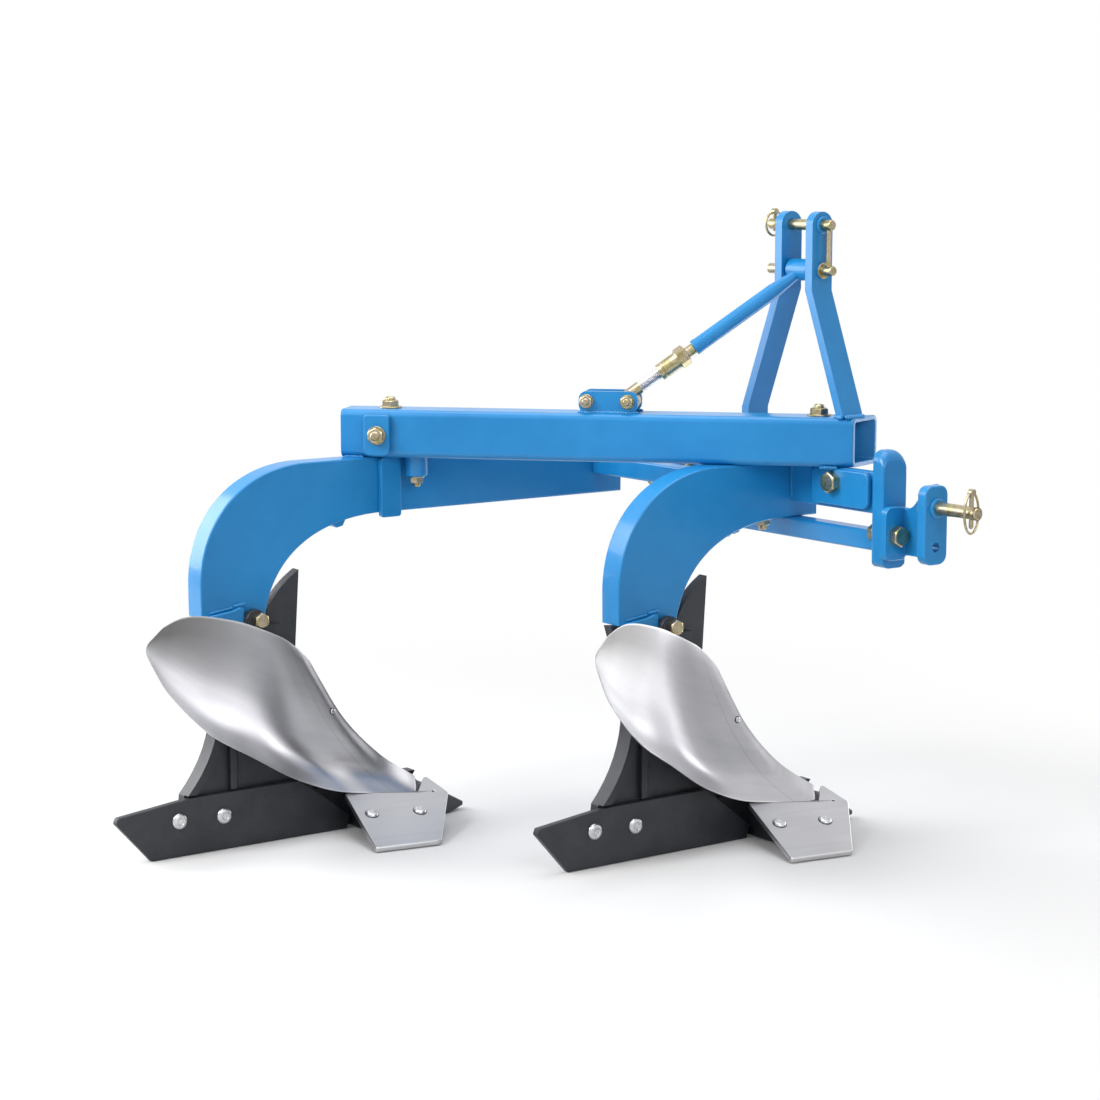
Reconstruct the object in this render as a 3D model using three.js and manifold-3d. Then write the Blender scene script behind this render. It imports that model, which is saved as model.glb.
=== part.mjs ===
// Two-furrow mounted mouldboard plough. Millimetres, +X is the way it is drawn, +Y is to the left, +Z is up.
import * as THREE from 'three';
import { mergeVertices } from 'three/addons/utils/BufferGeometryUtils.js';
import Module from 'manifold-3d';

// ---------- driving dimensions ----------
const GAP = 0.3;                    // air left between pieces that bear on each other
const PIN_CLEARANCE = 0.4;          // radial play of a pin in its hole

const BODY_STEP_X = 535;            // from the rear body to the front body, forwards
const BODY_STEP_Y = 475;            // and to the right

const BEAM_WIDTH = 48;
const BEAM_DEPTH = 100;
const BEAM_TOP = 665;               // height of the straight top edge above the ground
const BEAM_SIDE = 5;                // right-hand face of a beam, left of its landside face
const BEAM_OVERHANG = 45;           // front beam past the hitch pins
const REAR_BEAM_SHORT = 28;         // rear beam ends this far behind the hitch pins, clear of the left ring
const LEG_FOOT_REAR = new THREE.Vector2(108, 420);
const LEG_FOOT_FRONT = new THREE.Vector2(232, 406);
const LEG_BACK_X = 107;             // rearmost point of the leg's outer curve
const LEG_BACK_Z = 460;
const LEG_CROWN_X = 322;            // where the outer curve meets the straight top edge

const TUBE_SIZE = 85;
const TUBE_WALL = 8;
const TUBE_CORNER = 12;
const TUBE_LENGTH = 905;            // along its right-hand side
const TUBE_END_SKEW = 35;           // further to its left-hand side
const TUBE_ANGLE = 47;              // degrees to the right of straight ahead
const TUBE_START = new THREE.Vector2(442, 69);

const HITCH_X = 1040;               // line of the three hitch points
const HITCH_Y = -475;               // middle of the hitch
const LOWER_SPAN = 683;             // between the shoulders of the lower hitch pins, category 1
const MAST_HEIGHT = 460;            // from the lower hitch pins up to the top link pin
const LOWER_PIN_Z = 616;
const LOWER_PIN_RADIUS = 11;
const LOWER_PIN_REACH = 96;
const LOWER_LINCH_INSET = 16;       // from the pin's end
const TOP_PIN_RADIUS = 9.5;
const TOP_PIN_ENDS = [-74, 88];     // right-hand and left-hand ends, from the middle of the hitch
const STAY_PIN_ENDS = [-78, 86];
const TOP_LINCH_INSET = 11;         // from the pin's left-hand end
const KEEPER_INSET = 9;             // from its right-hand end
const STAY_PIN_DROP = 78;           // stay pin below the top link pin

const MAST_BAR = 46;
const MAST_PLATE = 18;
const MAST_CENTRES = 80;            // between the middles of the two mast plates
const MAST_SPLAY = 125;             // from the middle out to a foot
const MAST_BEND_DROP = 112;         // bend below the top link pin
const CROSS_BAR = 35;
const POST_WIDTH = 55;
const POST_THICK = 28;
const POST_FOOT = 503;
const POST_HEIGHT = 200;
const LUG_PLATE = 15;
const LUG_THICK = 20;
const LUG_WIDTH = 52;
const LUG_REACH = 80;               // from the post out to the lug
const LUG_HOLE_DROP = 66;           // spare hole below the lower hitch pin
const LUG_HOLE_RADIUS = 8;
const LINCH_RADIUS = 4;
const LINCH_HEAD = 10;
const LOWER_RING = new THREE.Vector2(16, 34);     // half width and half height
const TOP_RING = new THREE.Vector2(20, 21);
const RING_WIRE = 2.2;

const STAY_AT = 478;                // middle of the stay bracket along the tube
const STAY_PIN_AT = 34;             // the stay's lower pin, past that middle
const SPACER_PIN_AT = -38;          // and the pin that spaces the bracket's other end
const BRACKET_LENGTH = 104;
const BRACKET_GAP = 34;
const BRACKET_PLATE = 10;
const BRACKET_HEIGHT = 38;
const EYE_RADIUS = 18;
const STAY_TUBE_RADIUS = 13.5;
const STAY_SCREW_RADIUS = 10;
const STAY_COUPLING_RADIUS = 15;
const STAY_NUT_RADIUS = 19;
const STAY_NECK_RADIUS = 10;
const STAY_PIN_RADIUS = 9;

const BAR_LENGTH = 391;
const BAR_HEIGHT = 102;
const BAR_THICK = 14;
const BAR_HEEL = 66;                // how far the heel reaches back past its lower corner
const SHARE_PLATE = 10;
const SHARE_PITCH = 22.4;           // degrees that the share rises towards the landside
const SHARE_SWEEP = 9.8;            // degrees that its lower edge turns to the right
const SHARE_CORNER = new THREE.Vector2(340, -176);
const MOULDBOARD_PLATE = 8;
const MOULDBOARD_HOLLOW = 46;       // deepest hollow of the working face
const FROG_THICK = 20;

// ---------- materials ----------
const paint = (color, roughness, metalness) => new THREE.MeshStandardMaterial({ color, roughness, metalness });
const BLUE = paint(0x3a8cc8, 0.3, 0.1);
const BLACK = paint(0x26282b, 0.55, 0.2);
const STEEL = paint(0xb4b6b8, 0.3, 1);
const ZINC = paint(0xc9b26a, 0.35, 1);

// ---------- building blocks ----------
const wasm = await Module();
wasm.setup();

function solidOf(geometry) {
  const bare = geometry.clone();
  bare.deleteAttribute('normal');
  if (bare.attributes.uv) bare.deleteAttribute('uv');
  const merged = mergeVertices(bare, 1e-4);
  const vertProperties = new Float32Array(merged.attributes.position.array);
  const triVerts = new Uint32Array(merged.index.array);
  return new wasm.Manifold(new wasm.Mesh({ numProp: 3, vertProperties, triVerts }));
}

function geometryOf(solid) {
  const mesh = solid.getMesh();
  const geometry = new THREE.BufferGeometry();
  geometry.setAttribute('position', new THREE.BufferAttribute(mesh.vertProperties, 3));
  geometry.setIndex(new THREE.BufferAttribute(mesh.triVerts, 1));
  geometry.computeVertexNormals();
  return geometry;
}

const union = (...parts) => geometryOf(parts.map(solidOf).reduce((whole, part) => whole.add(part)));
const cut = (base, ...tools) => geometryOf(
  tools.map(solidOf).reduce((rest, tool) => rest.subtract(tool), solidOf(base)));
const common = (first, second) => geometryOf(solidOf(first).intersect(solidOf(second)));

function box(x0, x1, y0, y1, z0, z1) {
  const geometry = new THREE.BoxGeometry(x1 - x0, y1 - y0, z1 - z0);
  return geometry.translate((x0 + x1) / 2, (y0 + y1) / 2, (z0 + z1) / 2);
}

function extrude(shape, depth, curveSegments = 10) {
  return new THREE.ExtrudeGeometry(shape, { depth, bevelEnabled: false, curveSegments });
}

// A side outline, drawn as (x, z), carried across from y0 to y1.
function sidePlate(shape, y0, y1, curveSegments) {
  return extrude(shape, y1 - y0, curveSegments).rotateX(Math.PI / 2).translate(0, y1, 0);
}

// A plan outline, drawn as (x, y), raised from z0 to z1.
const planPlate = (shape, z0, z1, curveSegments) => extrude(shape, z1 - z0, curveSegments).translate(0, 0, z0);

// A front outline, drawn as (y, z), carried forwards from x0 to x1.
function frontPlate(shape, x0, x1, curveSegments) {
  const turn = new THREE.Matrix4().makeBasis(
    new THREE.Vector3(0, 1, 0), new THREE.Vector3(0, 0, 1), new THREE.Vector3(1, 0, 0));
  return extrude(shape, x1 - x0, curveSegments).applyMatrix4(turn).translate(x0, 0, 0);
}

const outline = (points) => new THREE.Shape(points.map(([a, b]) => new THREE.Vector2(a, b)));

function roundedRect(a0, a1, b0, b1, radius) {
  const shape = new THREE.Shape();
  shape.absarc(a1 - radius, b0 + radius, radius, -Math.PI / 2, 0);
  shape.absarc(a1 - radius, b1 - radius, radius, 0, Math.PI / 2);
  shape.absarc(a0 + radius, b1 - radius, radius, Math.PI / 2, Math.PI);
  shape.absarc(a0 + radius, b0 + radius, radius, Math.PI, 1.5 * Math.PI);
  shape.closePath();
  return shape;
}

// A round bar of the given radius from one point to another.
function rod(from, to, radius, sides = 20, farRadius = radius) {
  const along = new THREE.Vector3().subVectors(to, from);
  const geometry = new THREE.CylinderGeometry(farRadius, radius, along.length(), sides);
  geometry.translate(0, along.length() / 2, 0);
  const turn = new THREE.Quaternion().setFromUnitVectors(new THREE.Vector3(0, 1, 0), along.clone().normalize());
  return geometry.applyQuaternion(turn).translate(from.x, from.y, from.z);
}

const at = (x, y, z) => new THREE.Vector3(x, y, z);
const crossRod = (x, z, y0, y1, radius, sides) => rod(at(x, y0, z), at(x, y1, z), radius, sides);

// A closed shell between two grids of points, the first being its outer face.
function shell(front, back) {
  const rows = front.length;
  const columns = front[0].length;
  const points = [...front.flat(), ...back.flat()];
  const first = (i, j) => i * columns + j;
  const second = (i, j) => rows * columns + i * columns + j;
  const index = [];
  const quad = (a, b, c, d) => index.push(a, c, b, a, d, c);
  for (let i = 0; i < rows - 1; i++) {
    for (let j = 0; j < columns - 1; j++) {
      quad(first(i, j), first(i + 1, j), first(i + 1, j + 1), first(i, j + 1));
      quad(second(i, j), second(i, j + 1), second(i + 1, j + 1), second(i + 1, j));
    }
  }
  for (let i = 0; i < rows - 1; i++) {
    quad(first(i, 0), second(i, 0), second(i + 1, 0), first(i + 1, 0));
    quad(first(i + 1, columns - 1), second(i + 1, columns - 1), second(i, columns - 1), first(i, columns - 1));
  }
  for (let j = 0; j < columns - 1; j++) {
    quad(first(0, j + 1), second(0, j + 1), second(0, j), first(0, j));
    quad(first(rows - 1, j), second(rows - 1, j), second(rows - 1, j + 1), first(rows - 1, j + 1));
  }
  const geometry = new THREE.BufferGeometry().setFromPoints(points);
  geometry.setIndex(index);
  geometry.computeVertexNormals();
  return geometry;
}

const plough = new THREE.Group();

function add(parent, name, geometry, material) {
  const mesh = new THREE.Mesh(geometry, material);
  mesh.name = name;
  parent.add(mesh);
  return mesh;
}

// ---------- plough body ----------
// The landside face of a body is y = 0 and the lower corner of its heel is the origin.

// Edges of the working face: the shin, the lower edge, the wing's end and the top edge.
const SHIN = [at(522, -30, 80), at(456, -12, 128), at(383, -12, 201), at(330, -14, 281), at(288, -22, 348)];
const LOWER_EDGE = [at(522, -30, 80), at(440, -26, 74), at(372, -22, 76), at(268, -45, 113), at(135, -105, 186),
  at(35, -150, 244), at(-64, -200, 330), at(-117, -235, 389)];
const WING_END = [at(-117, -235, 389), at(-127, -243, 418), at(-110, -233, 441)];
const TOP_EDGE = [at(288, -22, 348), at(183, -58, 395), at(101, -105, 424), at(-26, -183, 452), at(-110, -233, 441)];
const INWARDS = at(0.42, 0.86, -0.3).normalize();      // from the working face into the mouldboard

// A patch on the four edges, hollowed towards the frog: u runs from the shin to the wing, v from low to high.
function mouldboardFace(uSteps, vSteps) {
  const [shin, low, wing, top] = [SHIN, LOWER_EDGE, WING_END, TOP_EDGE].map((p) => new THREE.CatmullRomCurve3(p));
  const rows = [];
  for (let i = 0; i <= uSteps; i++) {
    const u = i / uSteps;
    const row = [];
    for (let j = 0; j <= vSteps; j++) {
      const v = j / vSteps;
      const point = low.getPointAt(u).multiplyScalar(1 - v).addScaledVector(top.getPointAt(u), v);
      point.addScaledVector(shin.getPointAt(v), 1 - u).addScaledVector(wing.getPointAt(v), u);
      point.addScaledVector(SHIN[0], -(1 - u) * (1 - v)).addScaledVector(LOWER_EDGE.at(-1), -u * (1 - v));
      point.addScaledVector(SHIN.at(-1), -(1 - u) * v).addScaledVector(TOP_EDGE.at(-1), -u * v);
      const hollow = MOULDBOARD_HOLLOW * 4 * v * (1 - v) * Math.sin(Math.PI * u) ** 0.8;
      row.push(point.addScaledVector(INWARDS, hollow));
    }
    rows.push(row);
  }
  return rows;
}

const shifted = (rows, distance) => rows.map((row) => row.map((p) => p.clone().addScaledVector(INWARDS, distance)));

const shareAcross = at(Math.cos(-rad(SHARE_SWEEP)), Math.sin(-rad(SHARE_SWEEP)), 0);
const shareUp = at(Math.sin(rad(SHARE_SWEEP)) * Math.cos(rad(SHARE_PITCH)),
  Math.cos(rad(SHARE_SWEEP)) * Math.cos(rad(SHARE_PITCH)), Math.sin(rad(SHARE_PITCH)));

function rad(degrees) {
  return degrees * Math.PI / 180;
}

// A plate lying in the plane of the share, from below to above its underside.
function onShare(shape, below, above) {
  const normal = new THREE.Vector3().crossVectors(shareAcross, shareUp);
  const turn = new THREE.Matrix4().makeBasis(shareAcross, shareUp, normal);
  const geometry = extrude(shape, above - below).translate(0, 0, below).applyMatrix4(turn);
  return geometry.translate(SHARE_CORNER.x, SHARE_CORNER.y, 0);
}

function makeBody(parent, side) {
  const body = new THREE.Group();
  parent.add(body);
  const name = (piece) => `${side}_${piece}`;

  const bar = outline([[0, 0], [BAR_LENGTH, 0], [BAR_LENGTH + 8, 24], [306, 93], [292, BAR_HEIGHT],
    [78, BAR_HEIGHT - 2], [-BAR_HEEL + 4, 84], [-BAR_HEEL, 74]]);
  add(body, name('landside_bar'), sidePlate(bar, 0, BAR_THICK), BLACK);

  const share = outline([[0, 0], [123, 0], [193, 137], [170, 196], [162, 186], [137, 160], [4, 175]]);
  add(body, name('share'), onShare(share, 0, SHARE_PLATE), STEEL);
  const overShare = onShare(outline([[-40, -60], [260, -60], [260, 215], [-40, 215]]), -GAP, 120);

  const face = mouldboardFace(24, 10);
  const board = shell(face, shifted(face, MOULDBOARD_PLATE));
  add(body, name('mouldboard'), board, STEEL);
  const overBoard = shell(shifted(face, -260), shifted(face, MOULDBOARD_PLATE + GAP));

  const pointBar = outline([[430, 0], [604, 0], [640, 8], [640, 15], [545, 66], [470, 60]]);
  const pointPlan = outline([[420, -34], [530, -34], [650, 0], [650, BAR_THICK - GAP], [420, BAR_THICK - GAP]]);
  const point = cut(common(sidePlate(pointBar, -34, BAR_THICK - GAP), planPlate(pointPlan, -1, 80)), overShare, overBoard);
  add(body, name('share_point'), point, BLACK);

  const webSide = BAR_THICK + GAP;
  const web = new THREE.Shape();
  web.moveTo(62, 3);
  web.lineTo(520, 3);
  web.lineTo(505, 66);
  web.lineTo(385, 168);
  web.lineTo(296, 320);
  web.lineTo(306, 476);
  web.quadraticCurveTo(256, 446, 240, 404 - GAP);
  web.lineTo(234, 396);
  web.lineTo(98, 408);
  web.lineTo(132, 300);
  web.quadraticCurveTo(150, 190, 72, BAR_HEIGHT);
  web.closePath();
  const nose = outline([[405, 3], [500, 3], [530, 90], [420, 90]]);
  const rim = new THREE.Shape();
  rim.moveTo(72, BAR_HEIGHT + 2);
  rim.quadraticCurveTo(150, 190, 132, 300);
  rim.lineTo(148, 300);
  rim.quadraticCurveTo(164, 190, 90, BAR_HEIGHT + 2);
  rim.closePath();
  const frog = cut(union(
    sidePlate(web, webSide, webSide + FROG_THICK),
    sidePlate(nose, -96, webSide + 2),
    sidePlate(rim, 0, webSide + 2),
    box(158, 170, 4, webSide + 2, BAR_HEIGHT + 2, 290),
    box(186, 250, -18, webSide + FROG_THICK, 300, 390),
    box(186, 222, -18, BEAM_SIDE - GAP, 380, 398),
    crossRod(204, 398, -18, BEAM_SIDE - GAP, 18, 28),
  ), overShare, overBoard, sidePlate(pointBar, -36, BAR_THICK));
  add(body, name('frog'), frog, BLACK);
  return body;
}

// ---------- curved beam ----------
function beamShape(frontX) {
  const shape = new THREE.Shape();
  const bottom = BEAM_TOP - BEAM_DEPTH;
  shape.moveTo(LEG_FOOT_FRONT.x, LEG_FOOT_FRONT.y);
  shape.bezierCurveTo(250, 500, 330, bottom - 3, 470, bottom);
  shape.lineTo(frontX, bottom);
  shape.lineTo(frontX, BEAM_TOP);
  shape.lineTo(LEG_CROWN_X, BEAM_TOP);
  shape.bezierCurveTo(205, BEAM_TOP, LEG_BACK_X, 592, LEG_BACK_X, LEG_BACK_Z);
  shape.lineTo(LEG_FOOT_REAR.x, LEG_FOOT_REAR.y);
  shape.closePath();
  return shape;
}

const beamEnds = { rear: HITCH_X - REAR_BEAM_SHORT, front: HITCH_X + BEAM_OVERHANG };
for (const [side, step] of [['rear', 0], ['front', 1]]) {
  const body = makeBody(plough, side);
  body.position.set(step * BODY_STEP_X, -step * BODY_STEP_Y, 0);
  const beam = sidePlate(beamShape(beamEnds[side] - step * BODY_STEP_X), BEAM_SIDE, BEAM_SIDE + BEAM_WIDTH, 14);
  add(body, `${side}_beam`, beam, BLUE);
}

// ---------- main tube, laid across both beams ----------
const tubeBottom = BEAM_TOP + GAP;
const tubeTop = tubeBottom + TUBE_SIZE;
const half = TUBE_SIZE / 2;
const tube = new THREE.Group();
tube.position.set(TUBE_START.x, TUBE_START.y, 0);
tube.rotation.z = -rad(TUBE_ANGLE);
plough.add(tube);

const section = roundedRect(-half, half, tubeBottom, tubeTop, TUBE_CORNER);
section.holes.push(roundedRect(-half + TUBE_WALL, half - TUBE_WALL, tubeBottom + TUBE_WALL, tubeTop - TUBE_WALL,
  TUBE_CORNER - TUBE_WALL));
const tubeSkew = outline([[-1, -half], [TUBE_LENGTH, -half], [TUBE_LENGTH + TUBE_END_SKEW, half], [-1, half]]);
add(tube, 'main_tube', common(frontPlate(section, 0, TUBE_LENGTH + TUBE_END_SKEW, 4),
  planPlate(tubeSkew, tubeBottom - 1, tubeTop + 1)), BLUE);

// Stay bracket: two plates along the tube's top.
const stayPinZ = tubeTop + 20;
const bracketPins = [STAY_AT + STAY_PIN_AT, STAY_AT + SPACER_PIN_AT];
for (const [side, sign] of [['near', -1], ['far', 1]]) {
  const inner = sign * BRACKET_GAP / 2;
  const outer = inner + sign * BRACKET_PLATE;
  const plate = roundedRect(STAY_AT - BRACKET_LENGTH / 2, STAY_AT + BRACKET_LENGTH / 2,
    tubeTop + GAP, tubeTop + BRACKET_HEIGHT, 14);
  const lugPlate = cut(sidePlate(plate, Math.min(inner, outer), Math.max(inner, outer)),
    ...bracketPins.map((x) => crossRod(x, stayPinZ, -60, 60, STAY_PIN_RADIUS + PIN_CLEARANCE)));
  add(tube, `stay_bracket_${side}`, lugPlate, BLUE);
}
const bracketPin = BRACKET_GAP / 2 + BRACKET_PLATE + 8;
for (const [i, name] of ['stay_bracket_pin', 'stay_bracket_spacer'].entries()) {
  add(tube, name, crossRod(bracketPins[i], stayPinZ, -bracketPin, bracketPin, STAY_PIN_RADIUS), ZINC);
}

// Rear clamp: a side plate on the tube and a boss under it.
add(tube, 'rear_clamp_plate', box(45, 92, -half - GAP - 12, -half - GAP, tubeBottom + 4, tubeTop - 8), BLUE);
add(tube, 'rear_clamp_boss', rod(at(128, 0, tubeBottom - 36), at(128, 0, tubeBottom - GAP), 20, 24), BLUE);

// Strap on the rear beam's side, below the tube.
add(plough, 'rear_clamp_strap', box(466, 508, BEAM_SIDE - GAP - 12, BEAM_SIDE - GAP,
  BEAM_TOP - BEAM_DEPTH - 8, BEAM_TOP), BLUE);

// ---------- hitch ----------
const hitch = new THREE.Group();
hitch.position.set(HITCH_X, HITCH_Y, 0);
plough.add(hitch);
const topPinZ = LOWER_PIN_Z + MAST_HEIGHT;
const mastPinZ = topPinZ - STAY_PIN_DROP;
const barTop = BEAM_TOP - BEAM_DEPTH - GAP;

// Lower cross bar, under the front beam, from post to post.
const lugInner = LOWER_SPAN / 2 - LUG_THICK;
const flangeInner = lugInner - LUG_REACH;
const postInner = flangeInner - GAP - POST_THICK;
const halfBar = CROSS_BAR / 2;
add(hitch, 'cross_bar', box(-halfBar, halfBar, GAP - postInner, postInner - GAP, barTop - CROSS_BAR, barTop), BLUE);

// Gusset that carries the tube's right-hand end between the front beam and the right post, with its doubling plate.
const beamFace = -BODY_STEP_Y + BEAM_SIDE - HITCH_Y;
const gussetFace = -20;
add(hitch, 'hitch_gusset', box(gussetFace, gussetFace + 16, GAP - postInner, beamFace - GAP, 594, BEAM_TOP), BLUE);
add(hitch, 'hitch_gusset_plate', box(gussetFace - GAP - 10, gussetFace - GAP, 8 - postInner, -62, 600, BEAM_TOP - 2), BLUE);

// Tie between the two beams, behind the hitch.
add(hitch, 'beam_tie', box(-97, -62, beamFace + BEAM_WIDTH + GAP, beamFace + BODY_STEP_Y - GAP, 603, 638), BLUE);

// Linch pin through the end of a cross pin, and the ring that hangs from its head round the pin's end.
function addLinch(name, y, z, ringSize) {
  const headZ = z + ringSize.y;
  const pin = union(
    rod(at(0, y, z - ringSize.y + 8), at(0, y, headZ), LINCH_RADIUS, 14),
    rod(at(-LINCH_HEAD / 2, y, headZ), at(LINCH_HEAD / 2, y, headZ), 6, 16),
  );
  add(hitch, `${name}_linch_pin`, pin, ZINC);
  const opening = Math.asin(LINCH_HEAD / 2 / ringSize.x);
  const path = new THREE.CatmullRomCurve3(Array.from({ length: 33 }, (_, i) => {
    const angle = opening + i / 32 * (2 * Math.PI - 2 * opening);
    return at(ringSize.x * Math.sin(angle), y, z + ringSize.y * Math.cos(angle));
  }));
  const wire = new THREE.Shape().absarc(0, 0, RING_WIRE, 0, 2 * Math.PI);
  const ring = new THREE.ExtrudeGeometry(wire, { steps: 36, extrudePath: path, curveSegments: 4 });
  const headFace = LINCH_HEAD / 2 + GAP;
  add(hitch, `${name}_ring`, cut(ring, box(-headFace, headFace, y - 9, y + 9, headZ - 14, headZ + 9)), ZINC);
}

for (const [side, sign] of [['right', -1], ['left', 1]]) {
  const across = (from, to) => [Math.min(sign * from, sign * to), Math.max(sign * from, sign * to)];

  // Post at the cross bar's end.
  const postShape = roundedRect(-POST_WIDTH / 2, POST_WIDTH / 2, POST_FOOT, POST_FOOT + POST_HEIGHT, 14);
  add(hitch, `hitch_post_${side}`, sidePlate(postShape, ...across(postInner, postInner + POST_THICK), 5), BLUE);

  // Cranked lug bolted to the post's outer face.
  const lugLow = LOWER_PIN_Z - LUG_HOLE_DROP - 30;
  const flange = roundedRect(-34, 22, LOWER_PIN_Z - 98, LOWER_PIN_Z - 6, 12);
  const lugShape = roundedRect(-LUG_WIDTH / 2, LUG_WIDTH / 2, lugLow, LOWER_PIN_Z + 37, 14);
  const lug = cut(union(
    sidePlate(flange, ...across(flangeInner, flangeInner + LUG_PLATE), 5),
    box(22 - LUG_PLATE, 22, ...across(flangeInner + 2, lugInner + 2), LOWER_PIN_Z - 90, LOWER_PIN_Z - 16),
    sidePlate(lugShape, ...across(lugInner, lugInner + LUG_THICK), 5),
  ),
  crossRod(0, LOWER_PIN_Z, 0, sign * 500, LOWER_PIN_RADIUS + PIN_CLEARANCE, 24),
  crossRod(0, LOWER_PIN_Z - LUG_HOLE_DROP, sign * (lugInner - 1), sign * 500, LUG_HOLE_RADIUS, 20));
  add(hitch, `hitch_lug_${side}`, lug, BLUE);

  // Lower hitch pin with its collar against the lug and its nut behind it.
  const linchY = sign * (LOWER_SPAN / 2 + LOWER_PIN_REACH - LOWER_LINCH_INSET);
  const pin = cut(union(
    crossRod(0, LOWER_PIN_Z, sign * (lugInner - 16), sign * (LOWER_SPAN / 2 + LOWER_PIN_REACH), LOWER_PIN_RADIUS, 24),
    crossRod(0, LOWER_PIN_Z, sign * (LOWER_SPAN / 2 + GAP), sign * (LOWER_SPAN / 2 + 5), 17, 24),
    crossRod(0, LOWER_PIN_Z, sign * (lugInner - 13), sign * (lugInner - GAP), 18, 6),
  ), rod(at(0, linchY, LOWER_PIN_Z - 30), at(0, linchY, LOWER_PIN_Z + 30), LINCH_RADIUS + PIN_CLEARANCE, 14));
  add(hitch, `lower_pin_${side}`, pin, ZINC);
  addLinch(`lower_${side}`, linchY, LOWER_PIN_Z, LOWER_RING);

  // Side of the mast: a bar with a round head, splayed below its bend. The right one stands on the tube's end and
  // the left one passes in front of the tube down to the cross bar.
  const headTop = topPinZ + MAST_BAR / 2;
  const bendZ = topPinZ - MAST_BEND_DROP;
  const footZ = (sign < 0 ? tubeTop : barTop) + GAP;
  const centres = [[MAST_CENTRES / 2, headTop + 1], [MAST_CENTRES / 2, bendZ], [MAST_SPLAY, tubeTop + GAP]];
  if (footZ < tubeTop) centres.push([MAST_SPLAY, footZ]);
  const edge = (offset) => centres.map(([y, z]) => [sign * y + offset, z]);
  const strip = outline([...edge(-MAST_PLATE / 2), ...edge(MAST_PLATE / 2).reverse()]);
  const head = new THREE.Shape();
  head.moveTo(-MAST_BAR / 2, footZ - 1);
  head.lineTo(MAST_BAR / 2, footZ - 1);
  head.lineTo(MAST_BAR / 2, topPinZ);
  head.absarc(0, topPinZ, MAST_BAR / 2, 0, Math.PI);
  head.closePath();
  const mast = cut(common(frontPlate(strip, -MAST_BAR, MAST_BAR), sidePlate(head, -200, 200, 12)),
    crossRod(0, topPinZ, -200, 200, TOP_PIN_RADIUS + PIN_CLEARANCE, 24),
    crossRod(0, mastPinZ, -200, 200, STAY_PIN_RADIUS + PIN_CLEARANCE, 24));
  add(hitch, `mast_${side}`, mast, BLUE);
}

// Top link pin, its linch pin on the left, the stay pin below it and the keeper rod between their right ends.
const topLinchY = TOP_PIN_ENDS[1] - TOP_LINCH_INSET;
const topPin = cut(crossRod(0, topPinZ, ...TOP_PIN_ENDS, TOP_PIN_RADIUS, 24),
  rod(at(0, topLinchY, topPinZ - 20), at(0, topLinchY, topPinZ + 20), LINCH_RADIUS + PIN_CLEARANCE, 14));
add(hitch, 'top_link_pin', topPin, ZINC);
addLinch('top', topLinchY, topPinZ, TOP_RING);
add(hitch, 'stay_pin', crossRod(0, mastPinZ, ...STAY_PIN_ENDS, STAY_PIN_RADIUS, 24), ZINC);
const keeperY = TOP_PIN_ENDS[0] + KEEPER_INSET;
add(hitch, 'pin_keeper', rod(at(0, keeperY, mastPinZ + STAY_PIN_RADIUS + GAP),
  at(0, keeperY, topPinZ - TOP_PIN_RADIUS - GAP), 4.5, 16), ZINC);

// ---------- adjustable stay from the bracket up to the mast ----------
plough.updateMatrixWorld(true);
const stayFrom = tube.localToWorld(at(STAY_AT + STAY_PIN_AT - 10, 0, stayPinZ + 4));
const stayTo = hitch.localToWorld(at(0, 0, mastPinZ));
const stayEnd = stayTo.distanceTo(stayFrom);
const stayWay = new THREE.Vector3().subVectors(stayTo, stayFrom).normalize();
const onStay = (distance) => stayFrom.clone().addScaledVector(stayWay, distance);
const inBracket = (x, y) => tube.localToWorld(at(x, y, stayPinZ));
const eyeHalf = BRACKET_GAP / 2 - 4;
const tail = extrude(roundedRect(STAY_AT - 17, STAY_AT + STAY_PIN_AT, stayPinZ - 10, stayPinZ + 15, 9), 2 * eyeHalf);
tail.rotateX(Math.PI / 2).translate(0, eyeHalf, 0).applyMatrix4(tube.matrixWorld);
const eye = cut(union(
  rod(inBracket(bracketPins[0], -eyeHalf), inBracket(bracketPins[0], eyeHalf), EYE_RADIUS, 28),
  rod(onStay(8), onStay(34), STAY_SCREW_RADIUS + 1, 20),
  tail,
), rod(inBracket(bracketPins[0], -40), inBracket(bracketPins[0], 40), STAY_PIN_RADIUS + PIN_CLEARANCE, 20));
add(plough, 'stay_eye', eye, ZINC);
add(plough, 'stay_screw', rod(onStay(34 + GAP), onStay(76 - GAP), STAY_SCREW_RADIUS, 20), STEEL);
add(plough, 'stay_coupling', union(
  rod(onStay(76), onStay(118), STAY_COUPLING_RADIUS, 24),
  rod(onStay(116), onStay(135), STAY_NUT_RADIUS, 6),
  rod(onStay(133), onStay(150), STAY_NECK_RADIUS, 20),
), ZINC);
const headHalf = MAST_CENTRES / 2 - MAST_PLATE / 2 - 4;
const headPoint = (distance) => at(stayTo.x, stayTo.y + distance, stayTo.z);
add(plough, 'stay_tube', cut(union(
  rod(onStay(150 + GAP), onStay(stayEnd - 64), STAY_TUBE_RADIUS, 24),
  rod(onStay(stayEnd - 65), onStay(stayEnd - 8), STAY_TUBE_RADIUS, 24, 8),
  rod(headPoint(-headHalf), headPoint(headHalf), 19, 28),
), rod(headPoint(-60), headPoint(60), STAY_PIN_RADIUS + PIN_CLEARANCE, 24)), BLUE);

// ---------- origin: middle of the base ----------
const bounds = new THREE.Box3().setFromObject(plough, true);
plough.position.set(-(bounds.min.x + bounds.max.x) / 2, -(bounds.min.y + bounds.max.y) / 2, -bounds.min.z);
const model = new THREE.Group();
model.add(plough);
export default model;
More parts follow.
